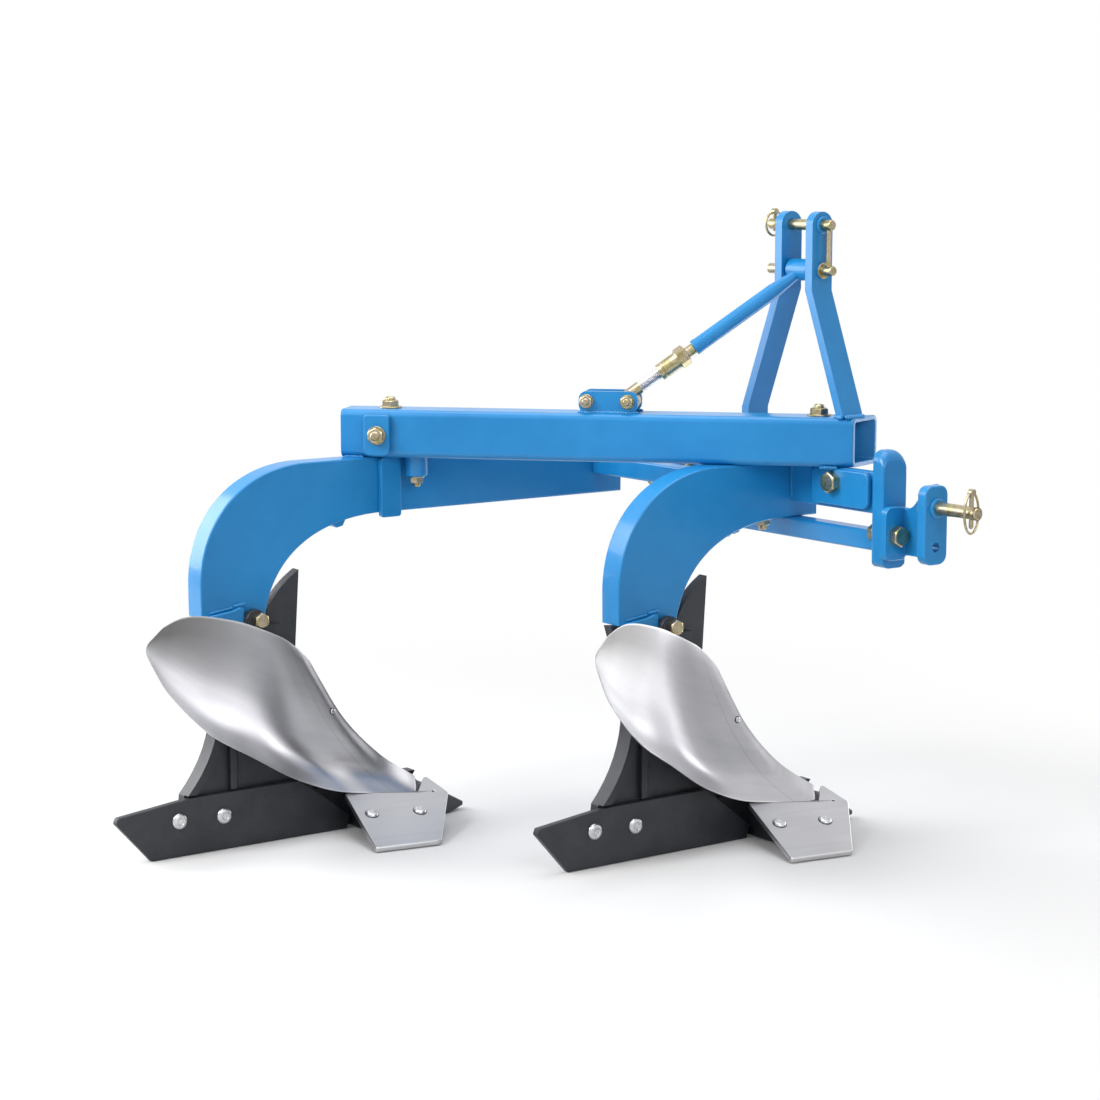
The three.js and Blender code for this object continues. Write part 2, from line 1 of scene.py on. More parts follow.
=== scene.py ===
"""Two-furrow moldboard plough: blue enamelled frame, polished mouldboards and shares, zinc-plated pins."""
from math import cos, pi, radians, sin

import bmesh
import bpy
import numpy as np
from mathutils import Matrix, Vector


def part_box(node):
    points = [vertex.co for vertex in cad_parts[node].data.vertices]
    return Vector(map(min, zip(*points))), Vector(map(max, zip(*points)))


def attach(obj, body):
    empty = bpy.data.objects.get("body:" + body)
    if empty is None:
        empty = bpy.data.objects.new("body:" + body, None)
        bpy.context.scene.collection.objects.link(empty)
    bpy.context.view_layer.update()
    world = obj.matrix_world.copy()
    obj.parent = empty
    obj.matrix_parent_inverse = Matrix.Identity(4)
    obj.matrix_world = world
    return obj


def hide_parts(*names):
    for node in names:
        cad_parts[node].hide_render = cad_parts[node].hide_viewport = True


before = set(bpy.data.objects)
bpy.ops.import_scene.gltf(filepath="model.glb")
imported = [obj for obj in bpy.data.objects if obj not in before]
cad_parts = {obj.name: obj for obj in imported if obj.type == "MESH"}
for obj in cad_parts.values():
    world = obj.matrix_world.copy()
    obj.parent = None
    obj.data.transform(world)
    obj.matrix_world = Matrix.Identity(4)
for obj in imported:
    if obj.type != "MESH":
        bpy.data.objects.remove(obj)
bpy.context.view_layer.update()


# ---------- frames: local millimetres to metres in the row frame ----------
class Place:
    """A local frame: an origin in metres and three unit axes. Calling it carries points in millimetres into the
    row."""

    def __init__(self, origin, forward=(1, 0, 0), left=(0, 1, 0), up=(0, 0, 1)):
        self.origin = np.array(origin, float)
        self.axes = np.array([forward, left, up], float)

    def __call__(self, points):
        return self.origin + np.asarray(points, float) @ self.axes * 0.001

    def aimed(self, at, direction):
        """The same frame moved to a point, its first axis turned along a local direction."""
        first = np.asarray(direction, float) @ self.axes
        first /= np.linalg.norm(first)
        helper = np.array([0, 0, 1.0]) if abs(first[2]) < 0.9 else np.array([1.0, 0, 0])
        second = np.cross(helper, first)
        second /= np.linalg.norm(second)
        return Place(self(at), first, second, np.cross(first, second))


def corners(node):
    """The two corners of a node's box, in metres."""
    low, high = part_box(node)
    return np.array(low), np.array(high)


def middle(node):
    """The middle of a node's box, in metres."""
    low, high = corners(node)
    return (low + high) / 2


BAR_HEEL = 66        # from a body's origin back to its landside bar's heel
TUBE_TURN = radians(47)
CLAMP_AT = 128       # from the tube's rear end along it to the clamp's threaded boss
bodies = {}
for furrow in ("rear", "front"):
    low, high = corners(f"{furrow}_landside_bar")
    bodies[furrow] = Place((low[0] + BAR_HEEL * 0.001, low[1], 0))
post_middle = (middle("hitch_post_left") + middle("hitch_post_right")) / 2
hitch = Place((post_middle[0], post_middle[1], 0))
ALONG = np.array([cos(TUBE_TURN), -sin(TUBE_TURN), 0])
ASIDE = np.array([sin(TUBE_TURN), cos(TUBE_TURN), 0])
boss = middle("rear_clamp_boss")
tube = Place((*(boss - CLAMP_AT * 0.001 * ALONG)[:2], 0), ALONG, ASIDE)

# Sizes used in several places, in millimetres.
BEAM_TOP, BEAM_BOTTOM, BEAM_NEAR, BEAM_FAR = 665, 565, 5, 53
TUBE_LOW, TUBE_HIGH, TUBE_HALF, TUBE_WALL = 665.3, 750.3, 42.5, 8
LOWER_PIN_Z, TOP_PIN_Z, STAY_PIN_Z = 616, 1076, 998
POST_INNER, POST_OUTER = 213.2, 241.2
LUG_INNER, LUG_OUTER, FLANGE_INNER, FLANGE_PLATE = 321.5, 341.5, 241.5, 15
BRACKET_PIN_Z = 770.3
BAR_PLATE = 14
LANDSIDE_BOLTS = ((54, 63), (141, 60))


# ---------- camera and plain view ----------
bpy.context.scene.view_settings.view_transform = "Standard"
camera = bpy.data.objects.new("camera", bpy.data.cameras.new("camera"))
bpy.context.scene.collection.objects.link(camera)
bpy.context.scene.camera = camera
camera.location = bodies["rear"]([-2039.7, -3964.7, 1187])
LOOKS_DOWN, LOOKS_ROUND = 8.37, -36      # degrees
camera.rotation_euler = (radians(90 - LOOKS_DOWN), 0, radians(LOOKS_ROUND))
camera.data.sensor_width = 36
camera.data.lens = 86.79
camera.data.clip_end = 100


# ---------- shader expressions ----------
class Feed:
    """One shader output; arithmetic on it adds Math nodes."""

    def __init__(self, finish, socket):
        self.finish, self.socket = finish, socket

    def _math(self, operation, first, second):
        return self.finish.maths(operation, first, second)

    def __add__(self, other):
        return self._math("ADD", self, other)

    def __radd__(self, other):
        return self._math("ADD", other, self)

    def __sub__(self, other):
        return self._math("SUBTRACT", self, other)

    def __rsub__(self, other):
        return self._math("SUBTRACT", other, self)

    def __mul__(self, other):
        return self._math("MULTIPLY", self, other)

    def __rmul__(self, other):
        return self._math("MULTIPLY", other, self)


class Node:
    """A shader node whose outputs are read as Feeds, by name or by number."""

    def __init__(self, finish, node):
        self.finish, self.node = finish, node

    def __getitem__(self, key):
        return Feed(self.finish, self.node.outputs[key])


class Finish:
    """A procedural material, or the world, and the few ways its nodes are added."""

    def __init__(self, name, world=None):
        self.material = world or bpy.data.materials.new(name)
        self.material.use_nodes = True
        self.tree = self.material.node_tree
        self.tree.nodes.clear()

    def node(self, kind, settings=None, values=None):
        """Adds a node: settings are its own properties, values its inputs, each a constant or a Feed."""
        made = self.tree.nodes.new(kind)
        for key, value in (settings or {}).items():
            if key == "stops":
                ramp = made.color_ramp
                while len(ramp.elements) < len(value):
                    ramp.elements.new(0.5)
                for element, (position, colour) in zip(ramp.elements, value):
                    element.position, element.color = position, (*colour, 1)
            else:
                setattr(made, key, value)
        for key, value in (values or {}).items():
            if isinstance(value, Feed):
                self.tree.links.new(value.socket, made.inputs[key])
            else:
                made.inputs[key].default_value = value
        return Node(self, made)

    def maths(self, operation, *inputs):
        return self.node("ShaderNodeMath", {"operation": operation}, dict(enumerate(inputs)))[0]

    def absolute(self, value):
        return self.maths("ABSOLUTE", value)

    def coordinates(self, stretch=(1, 1, 1), own="Object"):
        source = self.node("ShaderNodeTexCoord")[own]
        return self.node("ShaderNodeMapping", None, {"Vector": source, "Scale": stretch})["Vector"]

    def noise(self, scale, detail=3, roughness=0.5, stretch=(1, 1, 1), own="Object", lean=0.0):
        values = {"Vector": self.coordinates(stretch, own), "Scale": scale, "Detail": detail,
                  "Roughness": roughness, "Distortion": lean}
        return self.node("ShaderNodeTexNoise", None, values)["Fac"]

    def fitted(self, value, low, high, to_low=0.0, to_high=1.0):
        return self.node("ShaderNodeMapRange", {"clamp": True}, {
            "Value": value, "From Min": low, "From Max": high, "To Min": to_low, "To Max": to_high})[0]

    def ramp(self, value, stops):
        return self.node("ShaderNodeValToRGB", {"stops": stops}, {"Fac": value})["Color"]

    def mixed(self, share, first, second):
        pair = {"Factor": share, 6: (*first, 1) if isinstance(first, tuple) else first,
                7: (*second, 1) if isinstance(second, tuple) else second}
        return self.node("ShaderNodeMix", {"data_type": "RGBA", "blend_type": "MIX"}, pair)[2]

    def bump(self, height, strength, distance):
        values = {"Height": height, "Strength": strength, "Distance": distance}
        return self.node("ShaderNodeBump", None, values)[0]

    def surface(self, shader):
        self.tree.links.new(shader.socket, self.node("ShaderNodeOutputMaterial").node.inputs["Surface"])
        return self.material

    def principled(self, **values):
        named = {key.replace("_", " "): value for key, value in values.items()}
        return self.surface(self.node("ShaderNodeBsdfPrincipled", None, named)[0])


def blue_enamel():
    """Glossy blue enamel: soft changes of tone, the faint ripple of sprayed paint and a clear coat."""
    f = Finish("blue_enamel")
    tone = f.noise(3.5, 2)
    cloud = f.noise(26, 4, 0.6)
    ripple = f.noise(300, 2, 0.4)
    share = f.fitted(tone * 0.7 + cloud * 0.3, 0.35, 0.65)
    base = f.mixed(share, (0.006, 0.180, 0.445), (0.012, 0.225, 0.530))
    return f.principled(Base_Color=base, Roughness=f.fitted(cloud, 0.3, 0.7, 0.32, 0.42),
                        Specular_IOR_Level=0.35, Coat_Weight=0.30, Coat_Roughness=0.12,
                        Normal=f.bump(ripple, 0.05, 0.0005))


def black_paint():
    """Near-black paint over sand-cast and rolled steel: a fine grain, with worn paler specks."""
    f = Finish("black_paint")
    grain = f.noise(1100, 3, 0.65)
    cloud = f.noise(18, 4, 0.6)
    speck = f.fitted(f.noise(620, 2, 0.7), 0.60, 0.72)
    base = f.mixed(f.fitted(cloud, 0.3, 0.7), (0.010, 0.0115, 0.016), (0.022, 0.025, 0.032))
    base = f.mixed(speck * 0.35, base, (0.080, 0.085, 0.100))
    return f.principled(Base_Color=base, Roughness=f.fitted(grain, 0.3, 0.7, 0.36, 0.54),
                        Specular_IOR_Level=0.5, Normal=f.bump(grain, 0.35, 0.0006))


def polished_steel():
    """Sheet steel ground along the plate's own sweep. It darkens towards its upper edge and its wing: painted
    shade, a painted dark reflection of the surroundings that part faces. A faint line crosses it near the shin,
    and both edges are painted brighter, a painted highlight along the rims."""
    f = Finish("polished_steel")
    grinding = f.noise(60, 4, 0.7, (1.2, 26, 1), "UV")
    streak = f.noise(9, 3, 0.6, (0.6, 7, 1), "UV")
    cloud = f.noise(5, 2, 0.5)
    across = f.node("ShaderNodeSeparateXYZ", None, {0: f.node("ShaderNodeTexCoord")["UV"]})
    base = f.mixed(f.fitted(cloud, 0.35, 0.65), (0.43, 0.43, 0.455), (0.50, 0.50, 0.525))
    base = f.mixed(f.fitted(streak, 0.45, 0.75) * 0.30, base, (0.36, 0.355, 0.35))
    # Painted shade: a dark warm tone towards the upper edge and the wing, a painted reflection of darker
    # surroundings.
    painted_dark_reflection = f.fitted(across["Y"], 0.12, 0.26) * f.fitted(across["X"], 0.15, 0.55, 0.10, 0.90)
    base = f.mixed(painted_dark_reflection, base, (0.125, 0.118, 0.108))
    from_line = f.absolute(across["X"] - 0.05)
    base = f.mixed((1 - f.fitted(from_line, 0.0004, 0.0022)) * 0.35, base, (0.24, 0.24, 0.25))
    # Painted highlight: a bright band along both long edges of the sweep, where the rims would glint.
    rim = f.fitted(f.absolute(across["Y"] - 0.15), 0.1455, 0.1485)
    base = f.mixed(rim * 0.8, base, (0.66, 0.66, 0.67))
    rough = f.fitted(grinding, 0.3, 0.7, 0.27, 0.36)
    return f.principled(Base_Color=base, Metallic=1.0, Roughness=rough, Normal=f.bump(grinding, 0.05, 0.0003))


def bright_steel():
    """Turned bright steel of bolt heads and threads."""
    f = Finish("bright_steel")
    turning = f.noise(900, 3, 0.6)
    cloud = f.noise(80, 3)
    base = f.mixed(f.fitted(cloud, 0.3, 0.7), (0.50, 0.50, 0.52), (0.64, 0.64, 0.65))
    return f.principled(Base_Color=base, Metallic=1.0, Roughness=f.fitted(turning, 0.3, 0.7, 0.22, 0.32),
                        Normal=f.bump(turning, 0.04, 0.0002))


def yellow_zinc():
    """Yellow passivated zinc: gold that drifts to green and rose over a few centimetres."""
    f = Finish("yellow_zinc")
    drift = f.noise(46, 3, 0.6, lean=1.5)
    fine = f.noise(700, 2, 0.6)
    base = f.ramp(drift, [(0.30, (0.31, 0.28, 0.12)), (0.43, (0.40, 0.34, 0.17)), (0.53, (0.47, 0.42, 0.30)),
                          (0.63, (0.45, 0.34, 0.24)), (0.74, (0.29, 0.27, 0.18))])
    base = f.mixed(f.fitted(fine, 0.55, 0.75) * 0.3, base, (0.60, 0.57, 0.49))
    return f.principled(Base_Color=base, Metallic=1.0, Roughness=f.fitted(fine, 0.3, 0.7, 0.24, 0.38),
                        Normal=f.bump(fine, 0.10, 0.0003))


FINISHES = {"blue_enamel": blue_enamel(), "black_paint": black_paint(), "polished_steel": polished_steel(),
            "bright_steel": bright_steel(), "yellow_zinc": yellow_zinc()}


# ---------- shapes: each returns points in local millimetres and faces ----------
def grid_faces(rows, columns, wrap_rows=False, wrap_columns=True):
    """Quads between neighbouring rows and columns of a grid of points."""
    i = np.arange(rows if wrap_rows else rows - 1)[:, None]
    j = np.arange(columns if wrap_columns else columns - 1)[None, :]
    i2, j2 = (i + 1) % rows, (j + 1) % columns
    quads = [i * columns + j, i * columns + j2, i2 * columns + j2, i2 * columns + j]
    return np.stack([np.broadcast_to(q, (i.size, j.size)) for q in quads], -1).reshape(-1, 4).tolist()


def closed(points):
    """A stack of rings closed by one face across each end."""
    rows, columns, _ = points.shape
    ends = [list(range(columns))[::-1], list(range((rows - 1) * columns, rows * columns))]
    return points.reshape(-1, 3), grid_faces(rows, columns) + ends


def together(*parts):
    """Several shapes as one."""
    points, faces, count = [], [], 0
    for part_points, part_faces in parts:
        points.append(part_points)
        faces += [[index + count for index in face] for face in part_faces]
        count += len(part_points)
    return np.concatenate(points), faces


def turned(profile, flats=0.0, sides=48, thread=None):
    """Revolves (distance, radius) stations about the first axis. With flats, the radius at each angle is held
    within a hexagon of that width. A thread (depth, pitch) cuts a triangle wave that advances with the angle
    into the widest stations."""
    distance, radius = np.array(profile, float).T[:, :, None]
    angle = np.linspace(0, 2 * pi, sides, endpoint=False)[None, :]
    ring = radius + 0 * angle
    if flats:
        ring = np.minimum(ring, flats / 2 / np.cos((angle + pi / 6) % (pi / 3) - pi / 6))
    if thread:
        depth, pitch = thread
        wave = np.abs((distance / pitch - angle / (2 * pi)) % 1 * 2 - 1)
        ring = ring - depth * wave * (radius > radius.max() * 0.97)
    return closed(np.stack([distance + 0 * angle, ring * np.cos(angle), ring * np.sin(angle)], -1))


def shifted(shape, along):
    """A shape moved along its first axis."""
    return shape[0] + np.array([along, 0, 0]), shape[1]


def facing_back(shape, along=0.0):
    """A shape turned to face the other way along its first axis, then moved along it."""
    return shape[0] * np.array([-1, 1, 1]) + np.array([along, 0, 0]), shape[1]


def finely(outline, step=3.0):
    """The outline with points added along its longer edges, no further apart than the step."""
    ends = np.roll(outline, -1, 0)
    counts = np.maximum(np.ceil(np.linalg.norm(ends - outline, axis=1) / step).astype(int), 1)
    start, way = np.repeat(outline, counts, 0), np.repeat(ends - outline, counts, 0)
    total = np.repeat(counts, counts)
    order = np.arange(len(total)) - np.repeat(np.cumsum(counts) - counts, counts)
    return start + way * (order / total)[:, None]


def inset(outline, depth):
    """Each corner of a closed outline moved inwards by depth, along the mean of its two edges' normals."""
    edge = np.roll(outline, -1, 0) - outline
    length = np.linalg.norm(edge, axis=1, keepdims=True)
    normal = np.stack([edge[:, 1], -edge[:, 0]], 1) / np.maximum(length, 1e-9)
    before = np.roll(normal, 1, 0)
    area = np.sum(outline[:, 0] * np.roll(outline[:, 1], -1) - np.roll(outline[:, 0], -1) * outline[:, 1])
    mean = (normal + before) / np.maximum(1 + np.sum(normal * before, 1, keepdims=True), 0.35)
    return outline - mean * depth * np.sign(area)


def rim_steps(low, high, radius, steps=4):
    """Depths and insets that round both rims of a plate with quarter circles."""
    turn = np.linspace(0, pi / 2, steps + 1)
    down, across = radius * (1 - np.sin(turn)), radius * (1 - np.cos(turn))
    return np.concatenate([low + across, (high - across)[::-1]]), np.concatenate([down, down[::-1]])


def bent_strip(path, thickness, low, high, radius=2.5):
    """A strip of plate bent in plan: an upright section with rounded corners carried along a plan path, with one
    height per station for its lower and its upper edge."""
    path = np.asarray(path, float)
    way = np.gradient(path, axis=0)
    way /= np.linalg.norm(way, axis=1, keepdims=True)
    normal = np.stack([way[:, 1], -way[:, 0]], 1)
    half = thickness / 2
    steps = 5
    turn = np.linspace(0, pi / 2, steps)
    out, down = half - radius + radius * np.sin(turn), radius * (1 - np.cos(turn))
    across = np.concatenate([out, out[::-1], -out, -out[::-1]])
    drop = np.concatenate([down, -down[::-1], -down, down[::-1]])
    upper = np.concatenate([np.ones(steps), np.zeros(2 * steps), np.ones(steps)])
    heights = np.asarray(high)[:, None] * upper + np.asarray(low)[:, None] * (1 - upper) - drop
    plan = path[:, None] + normal[:, None] * across[None, :, None]
    return closed(np.concatenate([plan, heights[..., None]], -1))


def laid(rings, depths, plane):
    """Rings of flat points given their depths. Plane side is (x, z) through y, front is (y, z) through x, and
    plan is (x, y) through z."""
    through = np.broadcast_to(depths[:, None], rings.shape[:2])
    a, b = rings[..., 0], rings[..., 1]
    return np.stack({"side": (a, through, b), "front": (through, a, b), "plan": (a, b, through)}[plane], -1)


def plate(outline, low, high, radius=2.5, plane="side"):
    """An outline given thickness, its rims rounded."""
    outline = np.asarray(outline, float)
    depths, insets = rim_steps(low, high, radius)
    return closed(laid(np.stack([inset(outline, depth) for depth in insets]), depths, plane))


def holed_plate(outline, low, high, hole, hole_radius, radius=2.5, plane="side"):
    """A plate with one round hole: rings run from the hole's chamfer out over one face, round the rim, back and
    through the hole."""
    chamfer = 0.8
    outline = finely(np.asarray(outline, float))
    ray = outline - np.array(hole)
    ray /= np.linalg.norm(ray, axis=1, keepdims=True)
    depths, insets = rim_steps(low, high, radius)
    mouth, wall = np.array(hole) + ray * (hole_radius + chamfer), np.array(hole) + ray * hole_radius
    rings = np.stack([mouth, *[inset(outline, depth) for depth in insets], mouth, wall, wall])
    depths = np.concatenate([[low], depths, [high, high - chamfer, low + chamfer]])
    points = laid(rings, depths, plane)
    return points.reshape(-1, 3), grid_faces(len(rings), len(outline), wrap_rows=True)


def filleted(points, radii, steps=8):
    """A polygon whose corners are replaced by arcs tangent to both edges."""
    points = np.asarray(points, float)
    radii = np.broadcast_to(radii, len(points))
    out = []
    for before, corner, after, radius in zip(np.roll(points, 1, 0), points, np.roll(points, -1, 0), radii):
        a, b = before - corner, after - corner
        a, b = a / np.linalg.norm(a), b / np.linalg.norm(b)
        half = np.arccos(np.clip(a @ b, -1, 1)) / 2
        if radius <= 0 or half > pi / 2 - 0.02:
            out.append(corner[None])
            continue
        centre = corner + (a + b) / np.linalg.norm(a + b) * radius / np.sin(half)
        start = corner + a * radius / np.tan(half) - centre
        end = corner + b * radius / np.tan(half) - centre
        share = np.linspace(0, 1, steps + 1)[:, None]
        span = pi - 2 * half
        out.append(centre + (np.sin((1 - share) * span) * start + np.sin(share * span) * end) / np.sin(span))
    return np.concatenate(out)


def rectangle(a0, a1, b0, b1, radii, steps=8):
    """A rectangle with rounded corners."""
    return filleted([(a0, b0), (a1, b0), (a1, b1), (a0, b1)], radii, steps)


def bezier(*control, samples=24):
    """Points on a Bezier curve of any degree, by repeated mixing of neighbouring controls."""
    t = np.linspace(0, 1, samples)[:, None, None]
    level = np.broadcast_to(np.array(control, float), (samples, len(control), len(control[0])))
    while level.shape[1] > 1:
        level = level[:, :-1] * (1 - t) + level[:, 1:] * t
    return level[:, 0]


def carried(path, radius, sides=12, flatten=1.0, lift=(0, 0, 1)):
    """A round or flattened section carried along a path; radius may change from station to station."""
    path = np.asarray(path, float)
    tangent = np.gradient(path, axis=0)
    tangent /= np.linalg.norm(tangent, axis=1, keepdims=True)
    side = np.cross(tangent, np.array(lift, float))
    side /= np.linalg.norm(side, axis=1, keepdims=True)
    top = np.cross(side, tangent)
    angle = np.linspace(0, 2 * pi, sides, endpoint=False)[None, :, None]
    width = np.broadcast_to(np.asarray(radius, float), len(path))[:, None, None]
    section = np.cos(angle) * side[:, None] + flatten * np.sin(angle) * top[:, None]
    return closed(path[:, None] + width * section)


def bead(start, end, width=4.0, lift=(0, 0, 1), pitch=4.5, bow=0.0):
    """A weld bead: a flattened section along a line, bowed towards lift by a half sine. Its width swells once
    per ripple and dies at both ends."""
    start, end = np.array(start, float), np.array(end, float)
    length = np.linalg.norm(end - start)
    count = max(int(length / pitch * 6), 12)
    t = np.linspace(0, 1, count)
    path = start + (end - start) * t[:, None]
    path = path + np.array(lift) * bow * np.sin(pi * t)[:, None]
    swell = 1 + 0.13 * np.sin(2 * pi * t * length / pitch)
    taper = np.clip(1 - (2 * t - 1) ** 10, 0.05, 1) ** 0.5
    return carried(path, width * swell * taper, 10, 0.72, lift)


def hex_head(flats, height, start=0.0):
    """A hexagon whose corners are cut by a cone of 30 degrees, which leaves curved chamfers and a round end."""
    corner, end_face, slope = flats / 2 / cos(pi / 6), flats * 0.44, 0.58
    rise = np.linspace(0, 1, 6)
    edge = start + height - (corner - end_face) * slope * (1 - rise)
    cone = corner + (end_face - corner) * rise
    stations = [(start, corner - 0.4), (start + 0.5, corner + 0.1), *zip(edge, cone), (start + height, 0.3)]
    return turned(stations, flats, 72)


def washer(radius, height=3.0):
    """A washer with both edges chamfered."""
    edge = 0.7
    return turned([(0, radius - edge), (edge, radius), (height - edge, radius), (height, radius - edge),
                   (height, 0.5)])


def stud(radius, start, end, pitch=2.0):
    """A threaded end with a chamfer."""
    steps = np.arange(start, end - radius * 0.25, pitch / 6)
    body = [(d, radius) for d in steps]
    return turned([*body, (end - radius * 0.2, radius * 0.93), (end, radius * 0.7), (end, 0.3)], sides=36,
                  thread=(0.75, pitch))


def nut_on_stud(flats=28, height=11, washer_radius=20.5, stud_radius=9.5, stud_rise=6):
    """A washer, a nut on it and the threaded end that stands out of the nut by stud_rise."""
    seat = 3
    threaded = stud(stud_radius, seat + 1, seat + height + stud_rise)
    return together(washer(washer_radius), hex_head(flats, height, seat), threaded)


def dome_head(radius):
    """A forged plough bolt: a shallow dome from a short rim up to a flat top with a sunken ring in it."""
    turn = np.linspace(0, 1, 12)
    height = radius * 0.34 * np.sin(turn * pi / 2)
    width = radius * (1 - 0.52 * turn ** 1.8)
    stations = [(-1.0, radius), (0.8, radius), *zip(height + 1.0, width)]
    top, edge = stations[-1]
    groove = radius * 0.10
    stations += [(top - groove * 0.3, edge * 0.95), (top - groove, edge * 0.86), (top - groove, edge * 0.76),
                 (top - groove * 0.35, edge * 0.68), (top - groove * 0.3, 0.3)]
    return turned(stations, sides=56)


def painted_shadow_ring(radius):
    """A black ring round a countersunk head: painted shadow in the recess of its seat."""
    inner, outer, low, high = radius - 0.5, radius + 1.3, -0.8, 0.25
    return turned([(low, inner), (low, outer), (high, outer), (high, inner)], sides=56)


# ---------- pieces ----------
SHARP = 32      # degrees between two faces, past which a CAD solid's edge counts as sharp


def settle(mesh, angle, recalculate):
    """Smooths all but the sharp edges; recalculate first merges doubles and points the faces outwards."""
    work = bmesh.new()
    work.from_mesh(mesh)
    if recalculate:
        bmesh.ops.remove_doubles(work, verts=work.verts, dist=1e-6)
        bmesh.ops.recalc_face_normals(work, faces=work.faces)
    work.to_mesh(mesh)
    work.free()
    mesh.polygons.foreach_set("use_smooth", np.ones(len(mesh.polygons), bool))
    mesh.set_sharp_from_angle(angle=radians(angle))


def finish_piece(obj, finish, body, replaces, bevel=0.0):
    """Gives a piece its rounded edges, flat-face shading, material and body. The bevel is in millimetres."""
    if bevel:
        edge = obj.modifiers.new("rounded edges", "BEVEL")
        edge.width, edge.segments, edge.limit_method = bevel * 0.001, 3, "ANGLE"
        edge.angle_limit, edge.miter_outer = radians(SHARP), "MITER_ARC"
        edge.use_clamp_overlap = True
    shading = obj.modifiers.new("flat faces", "WEIGHTED_NORMAL")
    shading.mode, shading.weight, shading.keep_sharp = "FACE_AREA", 60, True
    obj.data.materials.clear()
    obj.data.materials.append(FINISHES[finish])
    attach(obj, body)
    if replaces:
        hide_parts(*replaces)
    return obj


def piece(name, place, shape, finish, body="root", replaces=(), bevel=0.0, angle=38, sweep=None):
    """A new piece from local points and faces. Sweep gives each point its (along, across) for the grinding."""
    points, faces = shape
    mesh = bpy.data.meshes.new(name)
    mesh.from_pydata(place(points).tolist(), [], faces)
    if sweep is not None:
        layer = mesh.uv_layers.new(name="sweep")
        corner = np.zeros(len(mesh.loops), np.int32)
        mesh.loops.foreach_get("vertex_index", corner)
        layer.data.foreach_set("uv", np.asarray(sweep, np.float32)[corner].ravel())
    settle(mesh, angle, True)
    obj = bpy.data.objects.new(name, mesh)
    bpy.context.scene.collection.objects.link(obj)
    return finish_piece(obj, finish, body, replaces, bevel)


def welds(name, place, *beads):
    """Weld beads as one piece, each given by bead's own arguments."""
    piece(name, place, together(*[bead(*each) for each in beads]), "blue_enamel")


def softened(node, finish, bevel=2.5):
    """The node's own solid as one clean skin with rounded edges, on the root body."""
    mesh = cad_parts[node].data.copy()
    mesh.name = node + "_soft"
    work = bmesh.new()
    work.from_mesh(mesh)
    bmesh.ops.remove_doubles(work, verts=work.verts, dist=1e-5)
    bmesh.ops.dissolve_limit(work, angle_limit=radians(1.5), verts=work.verts, edges=work.edges)
    bmesh.ops.recalc_face_normals(work, faces=work.faces)
    work.to_mesh(mesh)
    work.free()
    settle(mesh, SHARP, False)
    obj = bpy.data.objects.new(node + "_soft", mesh)
    bpy.context.scene.collection.objects.link(obj)
    return finish_piece(obj, finish, "root", (node,), bevel)


def bar_from(node, axis, finish, corner=4.0, rim=2.5):
    """A straight bar filling the node's box: a rounded section across the given axis, carried along it."""
    low, high = (at * 1000 for at in corners(node))
    a, b = [k for k in range(3) if k != axis]
    shape = plate(rectangle(low[a], high[a], low[b], high[b], corner), low[axis], high[axis], rim,
                  {0: "front", 1: "side", 2: "plan"}[axis])
    return piece(node + "_bar", Place((0, 0, 0)), shape, finish, replaces=(node,))


# ---------- plough bodies ----------
# The mouldboard's four edges, its inward direction and the share, in a body's own frame.
SHIN = [(511, -40, 87), (456, -14, 128), (383, -12, 201), (330, -14, 281), (288, -22, 348)]
LOWER_EDGE = [(511, -40, 87), (502, -51, 59), (424, -45, 69), (356, -33, 79), (268, -45, 113), (135, -105, 186),
              (35, -150, 244), (-64, -200, 330), (-117, -235, 389)]
WING_END = [(-117, -235, 389), (-127, -243, 418), (-110, -233, 441)]
TOP_EDGE = [(288, -22, 348), (183, -58, 395), (101, -105, 424), (-26, -183, 452), (-110, -233, 441)]
INWARDS = np.array([0.42, 0.86, -0.3]) / np.linalg.norm([0.42, 0.86, -0.3])
HOLLOW, BOARD_PLATE = 41, 8
SHARE_CORNER, SHARE_SWEEP, SHARE_PITCH, SHARE_PLATE = (340, -176, 0), radians(9.8), radians(22.4), 10
SHIN_HEAD, SHARE_HEAD, LANDSIDE_HEAD = 5.2, 11.5, 14.5


def smooth_curve(points, samples):
    """A centripetal Catmull-Rom curve through the points, sampled at equal lengths."""
    p = np.array(points, float)
    p = np.concatenate([[2 * p[0] - p[1]], p, [2 * p[-1] - p[-2]]])
    step = np.maximum(np.linalg.norm(np.diff(p, axis=0), axis=1, keepdims=True) ** 0.5, 1e-6)
    d0, d1, d2 = step[:-2], step[1:-1], step[2:]
    p0, p1, p2, p3 = p[:-3], p[1:-2], p[2:-1], p[3:]
    t1 = ((p1 - p0) / d0 - (p2 - p0) / (d0 + d1) + (p2 - p1) / d1) * d1
    t2 = ((p2 - p1) / d1 - (p3 - p1) / (d1 + d2) + (p3 - p2) / d2) * d1
    t = np.linspace(0, 1, 40, endpoint=False)[None, :, None]
    a, b, c, d = (k[:, None] for k in (p1, p2, t1, t2))
    fine = ((2 * t**3 - 3 * t**2 + 1) * a + (t**3 - 2 * t**2 + t) * c + (3 * t**2 - 2 * t**3) * b
            + (t**3 - t**2) * d)
    fine = np.concatenate([fine.reshape(-1, 3), p[-2:-1]])
    run = np.concatenate([[0], np.cumsum(np.linalg.norm(np.diff(fine, axis=0), axis=1))])
    wanted = np.linspace(0, run[-1], samples)
    return np.stack([np.interp(wanted, run, fine[:, k]) for k in range(3)], 1)


def along_curve(points, share):
    """Points at given shares of a curve's length."""
    samples = 400
    fine = smooth_curve(points, samples)
    return np.stack([np.interp(share, np.linspace(0, 1, samples), fine[:, k]) for k in range(3)], -1)


